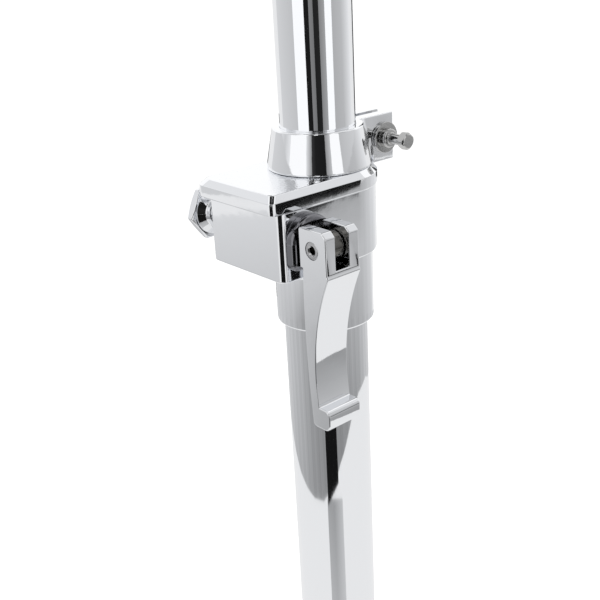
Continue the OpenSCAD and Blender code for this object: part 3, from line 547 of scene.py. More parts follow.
# Legs, braces and rubber feet
# Each leg is two flat steel bars, each brace two flat links, all with rolled edges and chrome
# plated. A moulded rubber boot with grip bands holds the ends of the bars.
FOOT_GRIP = 30.0
FOOT_R = 12.0
FOOT_SIDE = RAIL_OUT + 4.0
BAND_HEIGHTS = (9.0, 15.0, 21.0)
BAND_HALF = 1.3
GROOVES_AT = (-6, -2, 2, 6)
GROOVE_HALF = 0.6
GROOVE_DEPTH = 0.8
FLAT_CHROME = plated("flat_bar_chrome", (0.55, 0.56, 0.585), 0.09, 0.2, skin_depth=0.00003, swell=60.0)
BAR_PLANE = Matrix(((1, 0, 0, 0), (0, 0, -1, 0), (0, 1, 0, 0), (0, 0, 0, 1)))
ARC_STEPS = 24


def flat_bar(name, wide, thick, length, side, place, square_end):
    """Flat bar down from its upper pin, with round ends and rolled edges."""
    half = wide / 2
    outline = arc(0, 0, half, 0, 180, ARC_STEPS)
    if square_end:
        outline += [Vector((-half, -length)), Vector((half, -length))]
    else:
        outline += arc(0, -length, half, 180, 360, ARC_STEPS)

    def drawn_in(inset):
        share = 1 - inset / half
        return [Vector((p.x * share, bar_inset(p.y, length, share))) for p in outline]
    return lofted(name, drawn_in, rims(-thick / 2, thick / 2, 0.9, 0.9, 3.0, 3),
        at(place, 0, side, 0) @ BAR_PLANE)


def boot_outline(inset):
    """Side view of a boot from the leg's end: square at the top, half round at the bottom."""
    wide = FOOT_R - inset
    return rounded([(-wide, FOOT_GRIP - inset, 1.5), (-wide, -wide, wide - 0.05),
        (wide, -wide, wide - 0.05), (wide, FOOT_GRIP - inset, 1.5)], steps=16)


def bar_inset(y, length, share):
    """Height of an outline point once the round ends are drawn in to that share."""
    if y > 0:
        return y * share
    if y < -length:
        return -length + (y + length) * share
    return y


def pair_of_bars(name, wide, thick, length, side, place, square_end, holes):
    """Two bars on either side of the plane, as one piece with a pin hole at each given drop."""
    left, right = (flat_bar(name, wide, thick, length, s * (side + thick / 2), place, square_end)
        for s in (1, -1))
    bars = joined(left, right)
    cutters = [rod(PIN_SHAFT_R + PLAY, -20, 20, at(place, 0, 0, -drop) @ ALONG_Y, 48) for drop in holes]
    return carved(bars, *cutters)


SPACER_DROP = LEG_LEN - FOOT_GRIP - RAIL_W
for i in range(3):
    number = "_%d" % (i + 1)
    on_leg = at(round_axis(i), PIVOT_R, 0, COLLAR_PIN_Z) @ Matrix.Rotation(-LEG_ANGLE, 4, "Y")
    on_brace = at(round_axis(i), PIVOT_R, 0, HUB_PIN_Z) @ Matrix.Rotation(LEG_ANGLE - math.pi, 4, "Y")
    leg = pair_of_bars("leg_bars_steel" + number, RAIL_W, RAIL_T, LEG_LEN - 0.5, RAIL_IN, on_leg, True,
        (0, BRACE_LEN, SPACER_DROP))
    fitted(leg, "leg" + number, FLAT_CHROME, "chrome", "leg_bars" + number, angle=40)
    brace = pair_of_bars("brace_links_steel" + number, LINK_W, LINK_T, BRACE_LEN, LINK_IN, on_brace, False,
        (0, BRACE_LEN))
    fitted(brace, "brace" + number, FLAT_CHROME, "chrome", "brace_links" + number, angle=40)
    rivets = joined(domed_rivet("leg_rivets_steel" + number, LINK_OUT + SIDE_GAP, RAIL_IN,
        at(on_leg, 0, 0, -BRACE_LEN)),
        domed_rivet("spacer", RAIL_OUT, RAIL_IN, at(on_leg, 0, 0, -SPACER_DROP)))
    fitted(rivets, "leg" + number, ZINC_STEEL, "bolt_steel", "leg_rivets" + number)
    on_foot = at(on_leg, 0, 0, -LEG_LEN)
    boot = lofted("rubber_foot_boot" + number, boot_outline, rims(-FOOT_SIDE, FOOT_SIDE, 2.2, 2.2, 3.5, 5),
        on_foot @ BAR_PLANE)
    bands = [eased(brick((-FOOT_R - 0.5, -FOOT_SIDE - 0.5, height - BAND_HALF),
        (FOOT_R + 0.5, FOOT_SIDE + 0.5, height + BAND_HALF), on_foot), 0.9, 3, 40)
        for height in BAND_HEIGHTS]
    boot = joined(boot, *bands)
    mouths = [brick((-RAIL_W / 2, s * RAIL_IN if s > 0 else -RAIL_OUT, 1.0),
        (RAIL_W / 2, RAIL_OUT if s > 0 else -RAIL_IN, FOOT_GRIP + 3), on_foot) for s in (1, -1)]
    on_floor = at(round_axis(i), PIVOT_R + LEG_LEN * math.sin(LEG_ANGLE), 0, 0)
    under = brick((-60, -40, -60), (60, 40, 0), on_floor)
    grooves = [brick((x - GROOVE_HALF, -40, -1), (x + GROOVE_HALF, 40, GROOVE_DEPTH), on_floor)
        for x in GROOVES_AT]
    fitted(carved(boot, under, *mouths, *grooves), "leg" + number, RUBBER, "rubber", "rubber_foot" + number,
        angle=40)

# Leg collar
# Cast collar that slides on the lower tube on a nylon bush and carries the tops of the legs.
# Its wing screw holds it on the tube.
COLLAR_FOOT, COLLAR_TOP = extent("leg_collar", "z")
COLLAR_BORE = 19.05
COLLAR_R = 23.05
SCREW_R = 4.0
BOSS_SIZE = 8.0
BOSS_OUT = 4.0
AGAINST_X = Matrix.Rotation(-math.pi / 2, 4, "Y")
ON_COLLAR_SCREW = at(ON_AXIS, 0, 0, COLLAR_PIN_Z) @ AGAINST_X
collar_ring = turned("leg_collar_casting", pipe_corners(COLLAR_R, COLLAR_BORE - 0.3, COLLAR_FOOT,
    COLLAR_TOP, 1.5, 0.2), ON_AXIS)
collar_boss = turned("boss", bar_corners(BOSS_SIZE, COLLAR_R - 2.5, COLLAR_R + BOSS_OUT, 0, 1.0),
    ON_COLLAR_SCREW, 96)
collar = joined(lugged_ring(collar_ring, LUG_T / 2, RAIL_W / 2, COLLAR_PIN_Z), collar_boss)
collar = carved(collar, rod(COLLAR_BORE, COLLAR_FOOT - 1, COLLAR_TOP + 1, ON_AXIS, 128),
    rod(SCREW_R + PLAY, 10, 60, ON_COLLAR_SCREW, 64))
fitted(collar, "collar", CAST_CHROME, "chrome", "leg_collar")
fitted_pipe("collar_bush_ring", "z", COLLAR_BORE - 0.01, LOWER_R + PLAY, ON_AXIS, "collar", NYLON,
    "black_nylon", "collar_bush", 0.3)

# Wing screw of the leg collar
# Forged wing screw through the collar and its bush. Its end presses on the lower tube.
WING_SPAN = 34.0
WING_T = 4.5
WING_H = 16.0
WING_HUB_R = 5.5


def wings(name, place, bore=0.0):
    """Two rounded wings on a hub that stands on the place's XY plane."""
    lobe = WING_H * 0.3
    reach = WING_SPAN / 2 - lobe
    web = WING_H * 0.7
    right = [Vector((0, 0.4)), Vector((reach - 1, 0.4))]
    right += [Vector((reach + 2.6, 3.4))] + arc(reach, web, lobe, -22, 165, 20)
    right += rounded([(7.4, web - 2.5, 0), (WING_HUB_R - 0.6, 7.2, 2.2), (0, 7.2, 0)], 5)[1:-1]
    outline = right + [Vector((-p.x, p.y)) for p in reversed(right[1:])]
    blades = eased(extruded("blades", outline, WING_T, place @ BAR_PLANE), 1.3, 4, 40)
    hub = turned(name, [(0, 0, 0), (WING_HUB_R, 0, 0.6), (WING_HUB_R * 0.9, WING_H * 0.6, 1.4),
        (0, WING_H * 0.6, 0)], place, 96)
    piece = joined(hub, blades)
    if bore:
        piece = carved(piece, rod(bore, -1, WING_H + 1, place, 64))
    return piece


COLLAR_WING = COLLAR_R + BOSS_OUT + 3.0
screw_tip = -reaches("collar_wing_screw")[1]
collar_wings = wings("collar_wing_screw_steel", at(ON_COLLAR_SCREW, 0, 0, COLLAR_WING))
collar_shank = turned("shank", bar_corners(SCREW_R, screw_tip, COLLAR_WING + 2, 0.6), ON_COLLAR_SCREW, 64)
fitted(joined(collar_wings, collar_shank), "collar_screw", BAR_CHROME, "chrome", "collar_wing_screw")

# Sleeve of the main clamp
# Turned steel sleeve pressed on the lower tube. A wider band shows under the block, and the
# thin part inside the block is slotted so that the clamp can squeeze it on the guide bush.
band_foot = extent("clamp_sleeve", "z")[0]
BAND_R = half_size("clamp_sleeve", "x")
BLOCK_FOOT, BLOCK_TOP = extent("clamp_block", "z")
SLEEVE_R = 19.0
SLEEVE_SLOT = 3.0
band_profile = [(LOWER_R, band_foot, 0.3), (BAND_R, band_foot, 1.1), (BAND_R, BLOCK_FOOT, 0.3),
    (SLEEVE_R, BLOCK_FOOT, 0.2), (SLEEVE_R, BLOCK_TOP, 0.3), (LOWER_R, BLOCK_TOP, 0.3)]
sleeve = turned("clamp_sleeve_band", band_profile, ON_AXIS)
slot_cut = brick((-BAND_R - 1, -SLEEVE_SLOT / 2, BLOCK_FOOT), (0, SLEEVE_SLOT / 2, BLOCK_TOP + 1), ON_AXIS)
fitted(carved(sleeve, slot_cut), "base_tube", TUBE_CHROME, "chrome", "clamp_sleeve")

# Block of the main clamp
# Die-cast zinc block round the sleeve with a round nose and a square end, chrome plated.
# A cross bore takes the bolt and the two shoes that press on the sleeve.
BLOCK_END, BLOCK_R = reaches("clamp_block")
BLOCK_EDGE = 3.2
BOLT_END = extent("cross_bolt", "y")[1]
BOLT_X = (AXIS_X - middle("cam_saddle", "x")) / MM
BOLT_Z = middle("cam_saddle", "z") / MM
BOLT_D = 6.0
BOLT_BORE_R = BOLT_D / 2 + 0.3
SHOE_R = half_size("clamp_shoes", "z")
ON_BOLT = upright(AXIS_X - BOLT_X * MM, 0.0, BOLT_Z * MM)
BOLT_LINE = ON_BOLT @ ALONG_Y
ALONG_X = Matrix.Rotation(math.pi / 2, 4, "Y")


def block_outline(inset):
    radius = BLOCK_R - inset
    square_end = rounded([(0, radius, 0), (-BLOCK_END + inset, radius, BLOCK_EDGE),
        (-BLOCK_END + inset, -radius, BLOCK_EDGE), (0, -radius, 0)], steps=8)
    return arc(0, 0, radius, -90, 90, 64)[1:-1] + square_end


BLOCK_RIM = 0.9
DEEP = 3.0
block_levels = rims(BLOCK_FOOT, BLOCK_TOP, BLOCK_RIM, 0.5, DEEP, 5)
block = lofted("clamp_block_casting", block_outline, block_levels, ON_AXIS)
bore = rod(SLEEVE_R + 0.01, BLOCK_FOOT - 1, BLOCK_TOP + 1, ON_AXIS, 128)
shoe_bore = rod(SHOE_R + PLAY, -BLOCK_R + 5, BLOCK_R + 1, BOLT_LINE)
bolt_bore = rod(BOLT_BORE_R, -BLOCK_R - 1, BLOCK_R, BOLT_LINE)
fitted(carved(block, bore, shoe_bore, bolt_bore), "base_tube", CAST_CHROME, "chrome", "clamp_block")

# Top plate
# Cast plate that closes the block and carries the memory lock. All its upper edges are
# chamfered, and it stands out past the block in front, at the end and at the rear.
PLATE_REAR = extent("top_plate", "y")[1]
PLATE_R = BLOCK_R + 0.75
PLATE_END = reaches("top_plate")[0]
PLATE_T = 2 * half_size("top_plate", "z")
PLATE_CHAMFER = 2.4
PLATE_CORNER = 2.4
PLATE_REAR_CORNER = 6.0
PLATE_SHOULDER = 4.0
UPPER_R = 15.0


def plate_outline(inset):
    radius = PLATE_R - inset
    rear = PLATE_REAR - inset
    reach = math.hypot(PLATE_SHOULDER, rear)
    touch = math.degrees(math.atan2(rear, -PLATE_SHOULDER) - math.acos(radius / reach))
    end = -PLATE_END + inset
    square_end = rounded([(-PLATE_SHOULDER, rear, 0), (end, rear, PLATE_REAR_CORNER),
        (end, -radius, PLATE_CORNER), (0, -radius, 0)], steps=6)
    return arc(0, 0, radius, -90, touch, 72)[1:] + square_end


plate_levels = rounded([(5.0, BLOCK_TOP, 0), (0, BLOCK_TOP, 0.5),
    (0, BLOCK_TOP + PLATE_T - PLATE_CHAMFER, 0.35), (PLATE_CHAMFER, BLOCK_TOP + PLATE_T, 0.9),
    (5.0, BLOCK_TOP + PLATE_T, 0)], steps=4)
plate = lofted("top_plate_casting", plate_outline, plate_levels, ON_AXIS)
plate_bore = rod(UPPER_R + 0.3, BLOCK_TOP - 1, BLOCK_TOP + PLATE_T + 1, ON_AXIS, 128)
fitted(carved(plate, plate_bore), "base_tube", CAST_CHROME, "chrome", "top_plate")


def painted(piece, finish, chosen):
    """Gives the faces that pass the test a finish of their own."""
    piece.data.materials.append(finish)
    last = len(piece.data.materials) - 1
    for face in piece.data.polygons:
        if chosen(face):
            face.material_index = last
    return piece


PEBBLED_CHROME = plated("pebbled_chrome", (0.87, 0.88, 0.9), 0.08, 0.15, skin_depth=0.00014, swell=700.0,
    grain=0.35)
painted(plate, PEBBLED_CHROME, lambda face: face.normal.z > 0.97)

# Saddle
# Dark plated steel saddle on the block's front, round at the top with a full round rim.
# Its hollow face takes the round head of the lever.
SADDLE_R = half_size("cam_saddle", "x")
SADDLE_T = 2 * half_size("cam_saddle", "y")
lever_foot = extent("clamp_lever", "z")[0]
LEVER_Y = middle("lever_pin", "y") / MM
HEAD_R = 10.0
HOLLOW_R = HEAD_R + 0.9
DARK_STEEL = plated("dark_plated_steel", (0.2, 0.2, 0.215), 0.1, 0.22, skin_depth=0.00003)


def saddle_outline(inset):
    """Front view of the saddle: half round at the top, with straight sides below."""
    wide = SADDLE_R - inset
    return arc(0, 0, wide, 0, 180, 48) + rounded([(-wide, -wide, 3.0), (wide, -wide, 3.0)]
        + [(wide, 0, 0), (-wide, 0, 0)], steps=6)[:14]


saddle_levels = rims(BLOCK_R, BLOCK_R + SADDLE_T, 0.3, 2.2, 5.0, 6)
saddle = lofted("cam_saddle_casting", saddle_outline, saddle_levels, ON_BOLT @ BAR_PLANE)
saddle = carved(saddle, rod(BOLT_BORE_R, -BLOCK_R - 10, -BLOCK_R + 1, BOLT_LINE))
ON_PIN = at(ON_BOLT, 0, LEVER_Y, 0)
PIN_LINE = ON_PIN @ ALONG_X
HOLLOW_HALF = half_size("clamp_lever", "x") + 0.5
hollow = rod(HOLLOW_R, -HOLLOW_HALF, HOLLOW_HALF, PIN_LINE, 160)
fitted(carved(saddle, hollow), "base_tube", DARK_STEEL, "shoe_metal", "cam_saddle")

# Clamp lever
# Cast lever with two cheeks on the pin, a hollow front that fits the thumb and a lip at its
# tip. Its head is the cam: as the lever swings out it lets the cross bolt go.
LEVER_W = 2 * half_size("clamp_lever", "x")
LEVER_LEN = BOLT_Z - lever_foot
HEAD_FRONT = 7.5
HEAD_REAR = 7.0
HEAD_DROP = 7.9
HEAD_TOP = 7.8
ARM_FRONT_R = 94.0
ARM_WAIST = 50.0
WAIST_BACK = 1.0
ARM_REAR_R = 448.0
ARM_REAR_Y = -HEAD_DROP * 3.3
LIP_H = 8.8
LIP_OUT = 5.7
SLOT_W = 6.6
SLOT_FLOOR = 0.7
LEVER_EASE = 0.5


def arm_front(y):
    return WAIST_BACK - ARM_FRONT_R + math.sqrt(ARM_FRONT_R ** 2 - (y + ARM_WAIST) ** 2)


def arm_rear(y):
    return HEAD_REAR - 1 - ARM_REAR_R + math.sqrt(ARM_REAR_R ** 2 - (y - ARM_REAR_Y) ** 2)


ARM_STEPS = 40
REAR_STEPS = 12
REAR_START = 4.5
TIP_H = 9
arm_heights = [-HEAD_DROP + (HEAD_DROP - LEVER_LEN + LIP_H) * k / ARM_STEPS for k in range(ARM_STEPS + 1)]
rear_heights = [-LEVER_LEN + REAR_START + (LEVER_LEN - REAR_START - HEAD_DROP) * k / REAR_STEPS
    for k in range(REAR_STEPS + 1)]
lever_side = [Vector((-HEAD_FRONT, HEAD_R * 0.58)), Vector((-HEAD_FRONT, -HEAD_DROP))]
lever_side += [Vector((arm_front(y), y)) for y in arm_heights[1:-1]]
lever_side += rounded([(arm_front(arm_heights[-1]), -LEVER_LEN + LIP_H, 1.1),
    (-LIP_OUT, -LEVER_LEN + LIP_H, 2.4), (-LIP_OUT, -LEVER_LEN, 2.8),
    (arm_rear(-LEVER_LEN), -LEVER_LEN, 2.0), (arm_rear(-LEVER_LEN + TIP_H), -LEVER_LEN + TIP_H, 0)],
    steps=6)[:-1]
lever_side += [Vector((arm_rear(y), y)) for y in rear_heights if y > -LEVER_LEN + TIP_H]
lever_side += [Vector((HEAD_REAR, -HEAD_DROP))]
head_turn = math.degrees(math.atan2(HEAD_R * 0.714, HEAD_REAR))
top_turn = math.degrees(math.asin(HEAD_TOP / HEAD_R))
lever_side += arc(0, 0, HEAD_R, head_turn, top_turn, 6)
lever_side += [Vector((-HEAD_R * math.cos(math.radians(top_turn)) * 0.86, HEAD_TOP))]
LEVER_PLANE = Matrix(((0, 0, 1, 0), (1, 0, 0, 0), (0, 1, 0, 0), (0, 0, 0, 1)))
lever = extruded("clamp_lever_casting", lever_side, LEVER_W, ON_PIN @ LEVER_PLANE)
cheek_gap = brick((-SLOT_W / 2, -2 * HEAD_R, -HEAD_DROP + SLOT_FLOOR), (SLOT_W / 2, 2 * HEAD_R, 2 * HEAD_R),
    ON_PIN)
PIN_R = half_size("lever_pin", "z")
pin_bore = rod(PIN_R + 0.02, -LEVER_W, LEVER_W, PIN_LINE)
lever = eased(carved(lever, cheek_gap), LEVER_EASE)
fitted(carved(lever, pin_bore), "lever", CAST_CHROME, "chrome", "clamp_lever", angle=38)

# Lever pin
# Hardened dark steel pin through both cheeks and the bolt's eye. Each end has a small
# chamfer, and the outer end a hexagon socket for the key that sets it.
PIN_SOCKET = 3.0
PIN_SOCKET_DEPTH = 3.0
MOUTH = -LEVER_W / 2 + 0.5
PIN_STEEL = plated("pin_steel", (0.5, 0.5, 0.51), 0.14, 0.28, skin_depth=0.00001, swell=500.0, grain=0.6)
lever_pin = turned("lever_pin_steel", bar_corners(PIN_R, -LEVER_W / 2, LEVER_W / 2, 0.55, 0.55), PIN_LINE,
    96)


def hexagon(corner, turn=0.0):
    """Six corners at that distance from the middle."""
    angles = [math.radians(60 * k + turn) for k in range(6)]
    return [Vector((corner * math.cos(a), corner * math.sin(a))) for a in angles]


socket_cut = lofted("socket", lambda inset: hexagon(PIN_SOCKET / math.sqrt(3)),
    [(0, -LEVER_W / 2 - 1), (0, -LEVER_W / 2 + PIN_SOCKET_DEPTH)], PIN_LINE)
mouth = turned("mouth", [(0, MOUTH - 0.6, 0), (2.15, MOUTH - 0.6, 0), (1.5, MOUTH, 0), (0, MOUTH, 0)],
    PIN_LINE, 48)
lever_pin = fitted(carved(lever_pin, socket_cut, mouth), "bolt", PIN_STEEL, "bolt_steel", "lever_pin")
# Near-black steel: the cross bolt's own finish, and painted shade on the faces inside the pin's socket.
DARK_STEEL_AND_SHADE = plated("dark_steel_and_painted_shade", (0.16, 0.155, 0.145), 0.2, 0.34, skin_depth=0.00003, swell=500.0,
    grain=0.6)
PIN_SOCKET_R = PIN_SOCKET / math.sqrt(3) + 0.05
pin_place = ON_PIN.translation


def in_socket(face):
    """True for the faces inside the pin's socket."""
    off = face.center - pin_place
    inner_end = (PIN_SOCKET_DEPTH + 0.1 - LEVER_W / 2) * MM
    return math.hypot(off.y, off.z) < PIN_SOCKET_R * MM and off.x < inner_end


# Painted shade: the faces inside the pin's hexagon socket get the near-black steel, to darken the recess.
painted(lever_pin, DARK_STEEL_AND_SHADE, in_socket)

# Cross bolt
# Forged eye bolt: the lever's pin goes through its flat eye, and its thread carries the
# hand nut at the block's rear.
EYE_R = half_size("cross_bolt", "z")
EYE_T = 5.6
eye = turned("eye", pipe_corners(EYE_R, PIN_R + PLAY, -EYE_T / 2, EYE_T / 2, 0.6, 0.3), PIN_LINE)
shank = turned("shank", bar_corners(BOLT_D / 2, LEVER_Y + EYE_R - 1.2, BOLT_END, 0, 0.5), BOLT_LINE, 64)
eye.name = "cross_bolt_steel"
fitted(joined(eye, shank), "bolt", DARK_STEEL_AND_SHADE, "bolt_steel", "cross_bolt")

# Hand nut and its washer
# Steel nut on the cross bolt with a long round neck and a flat hexagon head. It sets how
# hard the lever closes, and a plain washer keeps it off the casting.
nut_rear = extent("hand_nut", "y")[1]
washer_rear = extent("nut_washer", "y")[1]
NUT_NECK_R = 6.5
NUT_FLATS = 21.4
NUT_HEAD_T = 4.0
NUT_FLARE = 2.2
NUT_TURN = -6.0
NUT_HEAD = nut_rear - NUT_HEAD_T
WASHER_R = half_size("nut_washer", "z")
fitted_pipe("nut_washer_disc", "y", WASHER_R, BOLT_D / 2 + PLAY, BOLT_LINE, "clamp_nut", ZINC_STEEL,
    "bolt_steel", "nut_washer", 0.35)


def hexagon_head(name, flats, low, high, chamfer, place, turn=0.0):
    """Hexagon with both faces turned down to round lands, as on a steel nut."""
    corner = flats / math.sqrt(3)
    head = extruded(name, hexagon(corner, turn), high - low, at(place, 0, 0, (low + high) / 2))
    land = flats / 2 - 0.25
    turned_down = turned("land", [(0, low, 0), (land, low, 0), (corner + 0.02, low + chamfer, 0),
        (corner + 0.02, high - chamfer, 0), (land, high, 0), (0, high, 0)], place, 96)
    return combined(head, "INTERSECT", [turned_down])


nut_head = hexagon_head("hand_nut_steel", NUT_FLATS, NUT_HEAD, nut_rear, 0.9, BOLT_LINE, NUT_TURN)
nut_neck = turned("neck", [(0, washer_rear, 0), (NUT_NECK_R, washer_rear, 0.5),
    (NUT_NECK_R, NUT_HEAD - NUT_FLARE, 1.0), (NUT_FLATS / 2 - 0.5, NUT_HEAD + 0.3, 0),
    (0, NUT_HEAD + 0.5, 0)], BOLT_LINE)
nut_bore = rod(BOLT_D / 2 + PLAY, washer_rear - 1, nut_rear + 1, BOLT_LINE, 64)
hand_nut = eased(carved(joined(nut_head, nut_neck), nut_bore), 0.3, 2)
fitted(hand_nut, "clamp_nut", BAR_CHROME, "chrome", "hand_nut")

# Hidden pieces of the main clamp
# Moulded nylon bush that guides the upper tube in the sleeve, and the two dark steel shoes
# on the cross bolt that press on the sleeve. Both stay as the CAD has them, inside the block.
for name, finish in [("guide_bush", NYLON), ("clamp_shoes", DARK_STEEL)]:
    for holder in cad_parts[name].material_slots:
        holder.material = finish

# Upper tube
# Drawn steel tube, 30 mm outside, polished and chrome plated. It slides in the lower tube
# and rests on the clamp's plate with its memory lock.
UPPER_WALL = 1.5
fitted_pipe("upper_tube_shell", "z", UPPER_R, UPPER_R - UPPER_WALL, ON_AXIS, "upper", TUBE_CHROME, "chrome",
    "upper_tube")

# Memory lock
# Cast conical ring clamped on the upper tube. Two ears are drawn together by the key bolt,
# and their toe drops past the plate's round nose, as far as the photograph hints at it.
lock_foot, LOCK_TOP = extent("memory_lock", "z")
LOCK_FOOT = BLOCK_TOP + PLATE_T
LOCK_FOOT_R = 21.1
LOCK_TOP_R = 18.0
EAR_REACH = reaches("memory_lock")[1]
EAR_W = 13.8
EAR_GAP = 3.6
KEY_D = 4.4
KEY_END = extent("key_bolt", "y")[1]
KEY_X = (middle("key_nut", "x") - AXIS_X) / MM
KEY_Z = middle("key_nut", "z") / MM
ON_KEY = upright(AXIS_X + KEY_X * MM, 0.0, KEY_Z * MM)
lock = turned("memory_lock_casting", [(UPPER_R, LOCK_FOOT, 0.3), (LOCK_FOOT_R, LOCK_FOOT, 0.9),
    (LOCK_TOP_R, LOCK_TOP, 0.8), (UPPER_R, LOCK_TOP, 0.4)], ON_AXIS, 160)
ears = eased(brick((UPPER_R + 1, -EAR_W / 2, LOCK_FOOT), (EAR_REACH, EAR_W / 2, LOCK_TOP), ON_AXIS), 0.5)
toe = eased(brick((PLATE_R + 0.6, -EAR_W / 2, lock_foot), (EAR_REACH, EAR_W / 2, LOCK_FOOT + 2), ON_AXIS),
    0.5)


def ear_cutters(reach, low, high, place, key_place):
    """Gap between the two ears of a lock, and the bore for its key bolt."""
    gap = brick((0, -EAR_GAP / 2, low - 1), (reach + 1, EAR_GAP / 2, high + 1), place)
    return gap, rod(KEY_D / 2 + PLAY, -EAR_W, EAR_W, key_place @ ALONG_Y, 48)


FILLET_R = 5.0


def ear_fillet(side):
    """Hollow corner between the cone and the outer face of an ear."""
    def outline(inset):
        cone_r = LOCK_FOOT_R - inset - 0.2
        y = EAR_W / 2 + FILLET_R
        x = math.sqrt((cone_r + FILLET_R) ** 2 - y ** 2)
        turn = math.degrees(math.atan2(y, x))
        hollow_side = arc(x, y, FILLET_R, 270, 180 + turn, 14)
        return [Vector((p.x, side * p.y)) for p in [Vector((UPPER_R + 1, 3)), Vector((x, 3))] + hollow_side
            + [Vector((UPPER_R - 3, y - 3))]]
    levels = [(0.0, LOCK_FOOT + 0.3), (LOCK_FOOT_R - LOCK_TOP_R, LOCK_TOP - 0.3)]
    return lofted("fillet", outline, levels, ON_AXIS)


fillet_bore = rod(UPPER_R, LOCK_FOOT - 1, LOCK_TOP + 1, ON_AXIS, 160)
lock = carved(joined(lock, ears, toe, ear_fillet(1), ear_fillet(-1)), fillet_bore)
lock = carved(lock, *ear_cutters(EAR_REACH, lock_foot, LOCK_TOP, ON_AXIS, ON_KEY))
fitted(lock, "upper", CAST_CHROME, "chrome", "memory_lock")

# Key bolts of the memory locks
# Steel bolts with a thin washer, a flange, a plain neck and a square head that a drum key
# fits. The head's corners are turned off and its end is domed.
KEY_SQUARE = 5.9
KEY_ROUND_R = 3.5
KEY_HEAD_LEN = 4.2
KEY_NECK = 5.6
KEY_FLANGE_R = 4.0
KEY_FLANGE_T = 2.6
KEY_WASHER_R = 6.4
KEY_WASHER_T = 1.4
KEY_NUT_T = 3.0
KEY_NUT_W = 2 * half_size("key_nut", "x")
EAR_FACE = EAR_W / 2
WASHER_FACE = -EAR_FACE - KEY_WASHER_T


def square(wide, edge=0.0):
    """Square outline with its corners rounded."""
    half = wide / 2
    return rounded([(half, half, edge), (-half, half, edge), (-half, -half, edge), (half, -half, edge)])


def key_bolt(name, place):
    """Key bolt along the place's Y, its flange on the washer outside the ears."""
    along = place @ ALONG_Y
    neck = WASHER_FACE - KEY_FLANGE_T
    head = neck - KEY_NECK
    tip = head - KEY_HEAD_LEN
    body = turned(name, [(0, KEY_END, 0), (KEY_D / 2, KEY_END, 0.6), (KEY_D / 2, WASHER_FACE, 0.1),
        (KEY_FLANGE_R, WASHER_FACE, 0.3), (KEY_FLANGE_R, neck, 0.9), (KEY_D / 2 * 0.95, neck, 0.6),
        (KEY_D / 2, head - 0.6, 0), (0, head - 0.6, 0)], along, 72)
    turned_place = along @ Matrix.Rotation(math.pi / 4, 4, "Z")
    key = extruded("key", square(KEY_SQUARE), KEY_HEAD_LEN, at(turned_place, 0, 0, (head + tip) / 2))
    dome = turned("dome", [(0, head, 0), (KEY_D / 2 + 0.2, head, 0.2), (KEY_ROUND_R, head - 1.0, 0.2),
        (KEY_ROUND_R, tip + 0.7, 0.5), (KEY_ROUND_R - 0.9, tip, 0.5), (0, tip, 0)], along, 72)
    return joined(body, combined(key, "INTERSECT", [dome]))


def square_nut(name, place):
    """Square nut with eased corners on the far face of the ears."""
    along = at(place @ ALONG_Y, 0, 0, EAR_FACE + KEY_NUT_T / 2)
    nut = extruded(name, square(KEY_NUT_W, 0.6), KEY_NUT_T, along)
    return carved(eased(nut, 0.3, 2, 50), rod(KEY_D / 2 + PLAY, -KEY_NUT_T, KEY_NUT_T, along, 48))


KEY_STEEL = plated("nickel_steel", (0.52, 0.52, 0.515), 0.07, 0.18, skin_depth=0.00002, swell=300.0,
    grain=0.3)
fitted(key_bolt("key_bolt_steel", ON_KEY), "lock_key", KEY_STEEL, "bolt_steel", "key_bolt")
key_washer = turned("key_washer_disc", pipe_corners(KEY_WASHER_R, KEY_D / 2 + PLAY, WASHER_FACE, -EAR_FACE,
    0.3), ON_KEY @ ALONG_Y, 96)
fitted(key_washer, "upper", KEY_STEEL, "bolt_steel", "key_washer")
fitted(square_nut("key_nut_steel", ON_KEY), "upper", ZINC_STEEL, "bolt_steel", "key_nut")

# Upper socket
# Cast socket pressed on the upper tube's end. It is slotted above the tube, and a wing bolt
# through its two ears squeezes it on the plastic bush round the top tube.
SOCKET_FOOT, SOCKET_TOP = extent("upper_socket", "z")
bush_foot, bush_top = extent("socket_bush", "z")
SOCKET_R = 18.0
SOCKET_EAR_W = 19.0
SOCKET_EAR_H = 16.0
SOCKET_SLOT = 3.0
SOCKET_REACH = reaches("upper_socket")[1]
SOCKET_BOLT_X = SOCKET_R + (SOCKET_REACH - SOCKET_R) / 2
ON_SOCKET_BOLT = upright(AXIS_X + SOCKET_BOLT_X * MM, 0.0, (SOCKET_TOP - SOCKET_EAR_H / 2) * MM)
SOCKET_LINE = ON_SOCKET_BOLT @ ALONG_Y
socket = turned("upper_socket_casting", pipe_corners(SOCKET_R, UPPER_R, SOCKET_FOOT, SOCKET_TOP, 1.2, 0.3),
    ON_AXIS)
socket_ears = brick((SOCKET_R - 2, -SOCKET_EAR_W / 2, SOCKET_TOP - SOCKET_EAR_H),
    (SOCKET_REACH, SOCKET_EAR_W / 2, SOCKET_TOP), ON_AXIS)
socket_cut = brick((0, -SOCKET_SLOT / 2, bush_foot), (SOCKET_REACH + 1, SOCKET_SLOT / 2, SOCKET_TOP + 1),
    ON_AXIS)
socket_bore = rod(SCREW_R + PLAY, -SOCKET_EAR_W, SOCKET_EAR_W, SOCKET_LINE, 64)
socket = carved(joined(socket, eased(socket_ears, 1.2)), socket_cut, socket_bore)
fitted(socket, "upper", CAST_CHROME, "chrome", "upper_socket")

# Socket bush
# Black nylon bush in the socket, split in line with the socket's slot.
TOP_R = 11.0
bush = turned("socket_bush_ring", pipe_corners(UPPER_R - 0.01, TOP_R + PLAY, bush_foot, bush_top, 0.3),
    ON_AXIS)
bush_cut = brick((0, -SOCKET_SLOT / 2, bush_foot - 1), (2 * UPPER_R, SOCKET_SLOT / 2, SOCKET_TOP + 1),
    ON_AXIS)
fitted(carved(bush, bush_cut), "upper", NYLON, "black_nylon", "socket_bush")

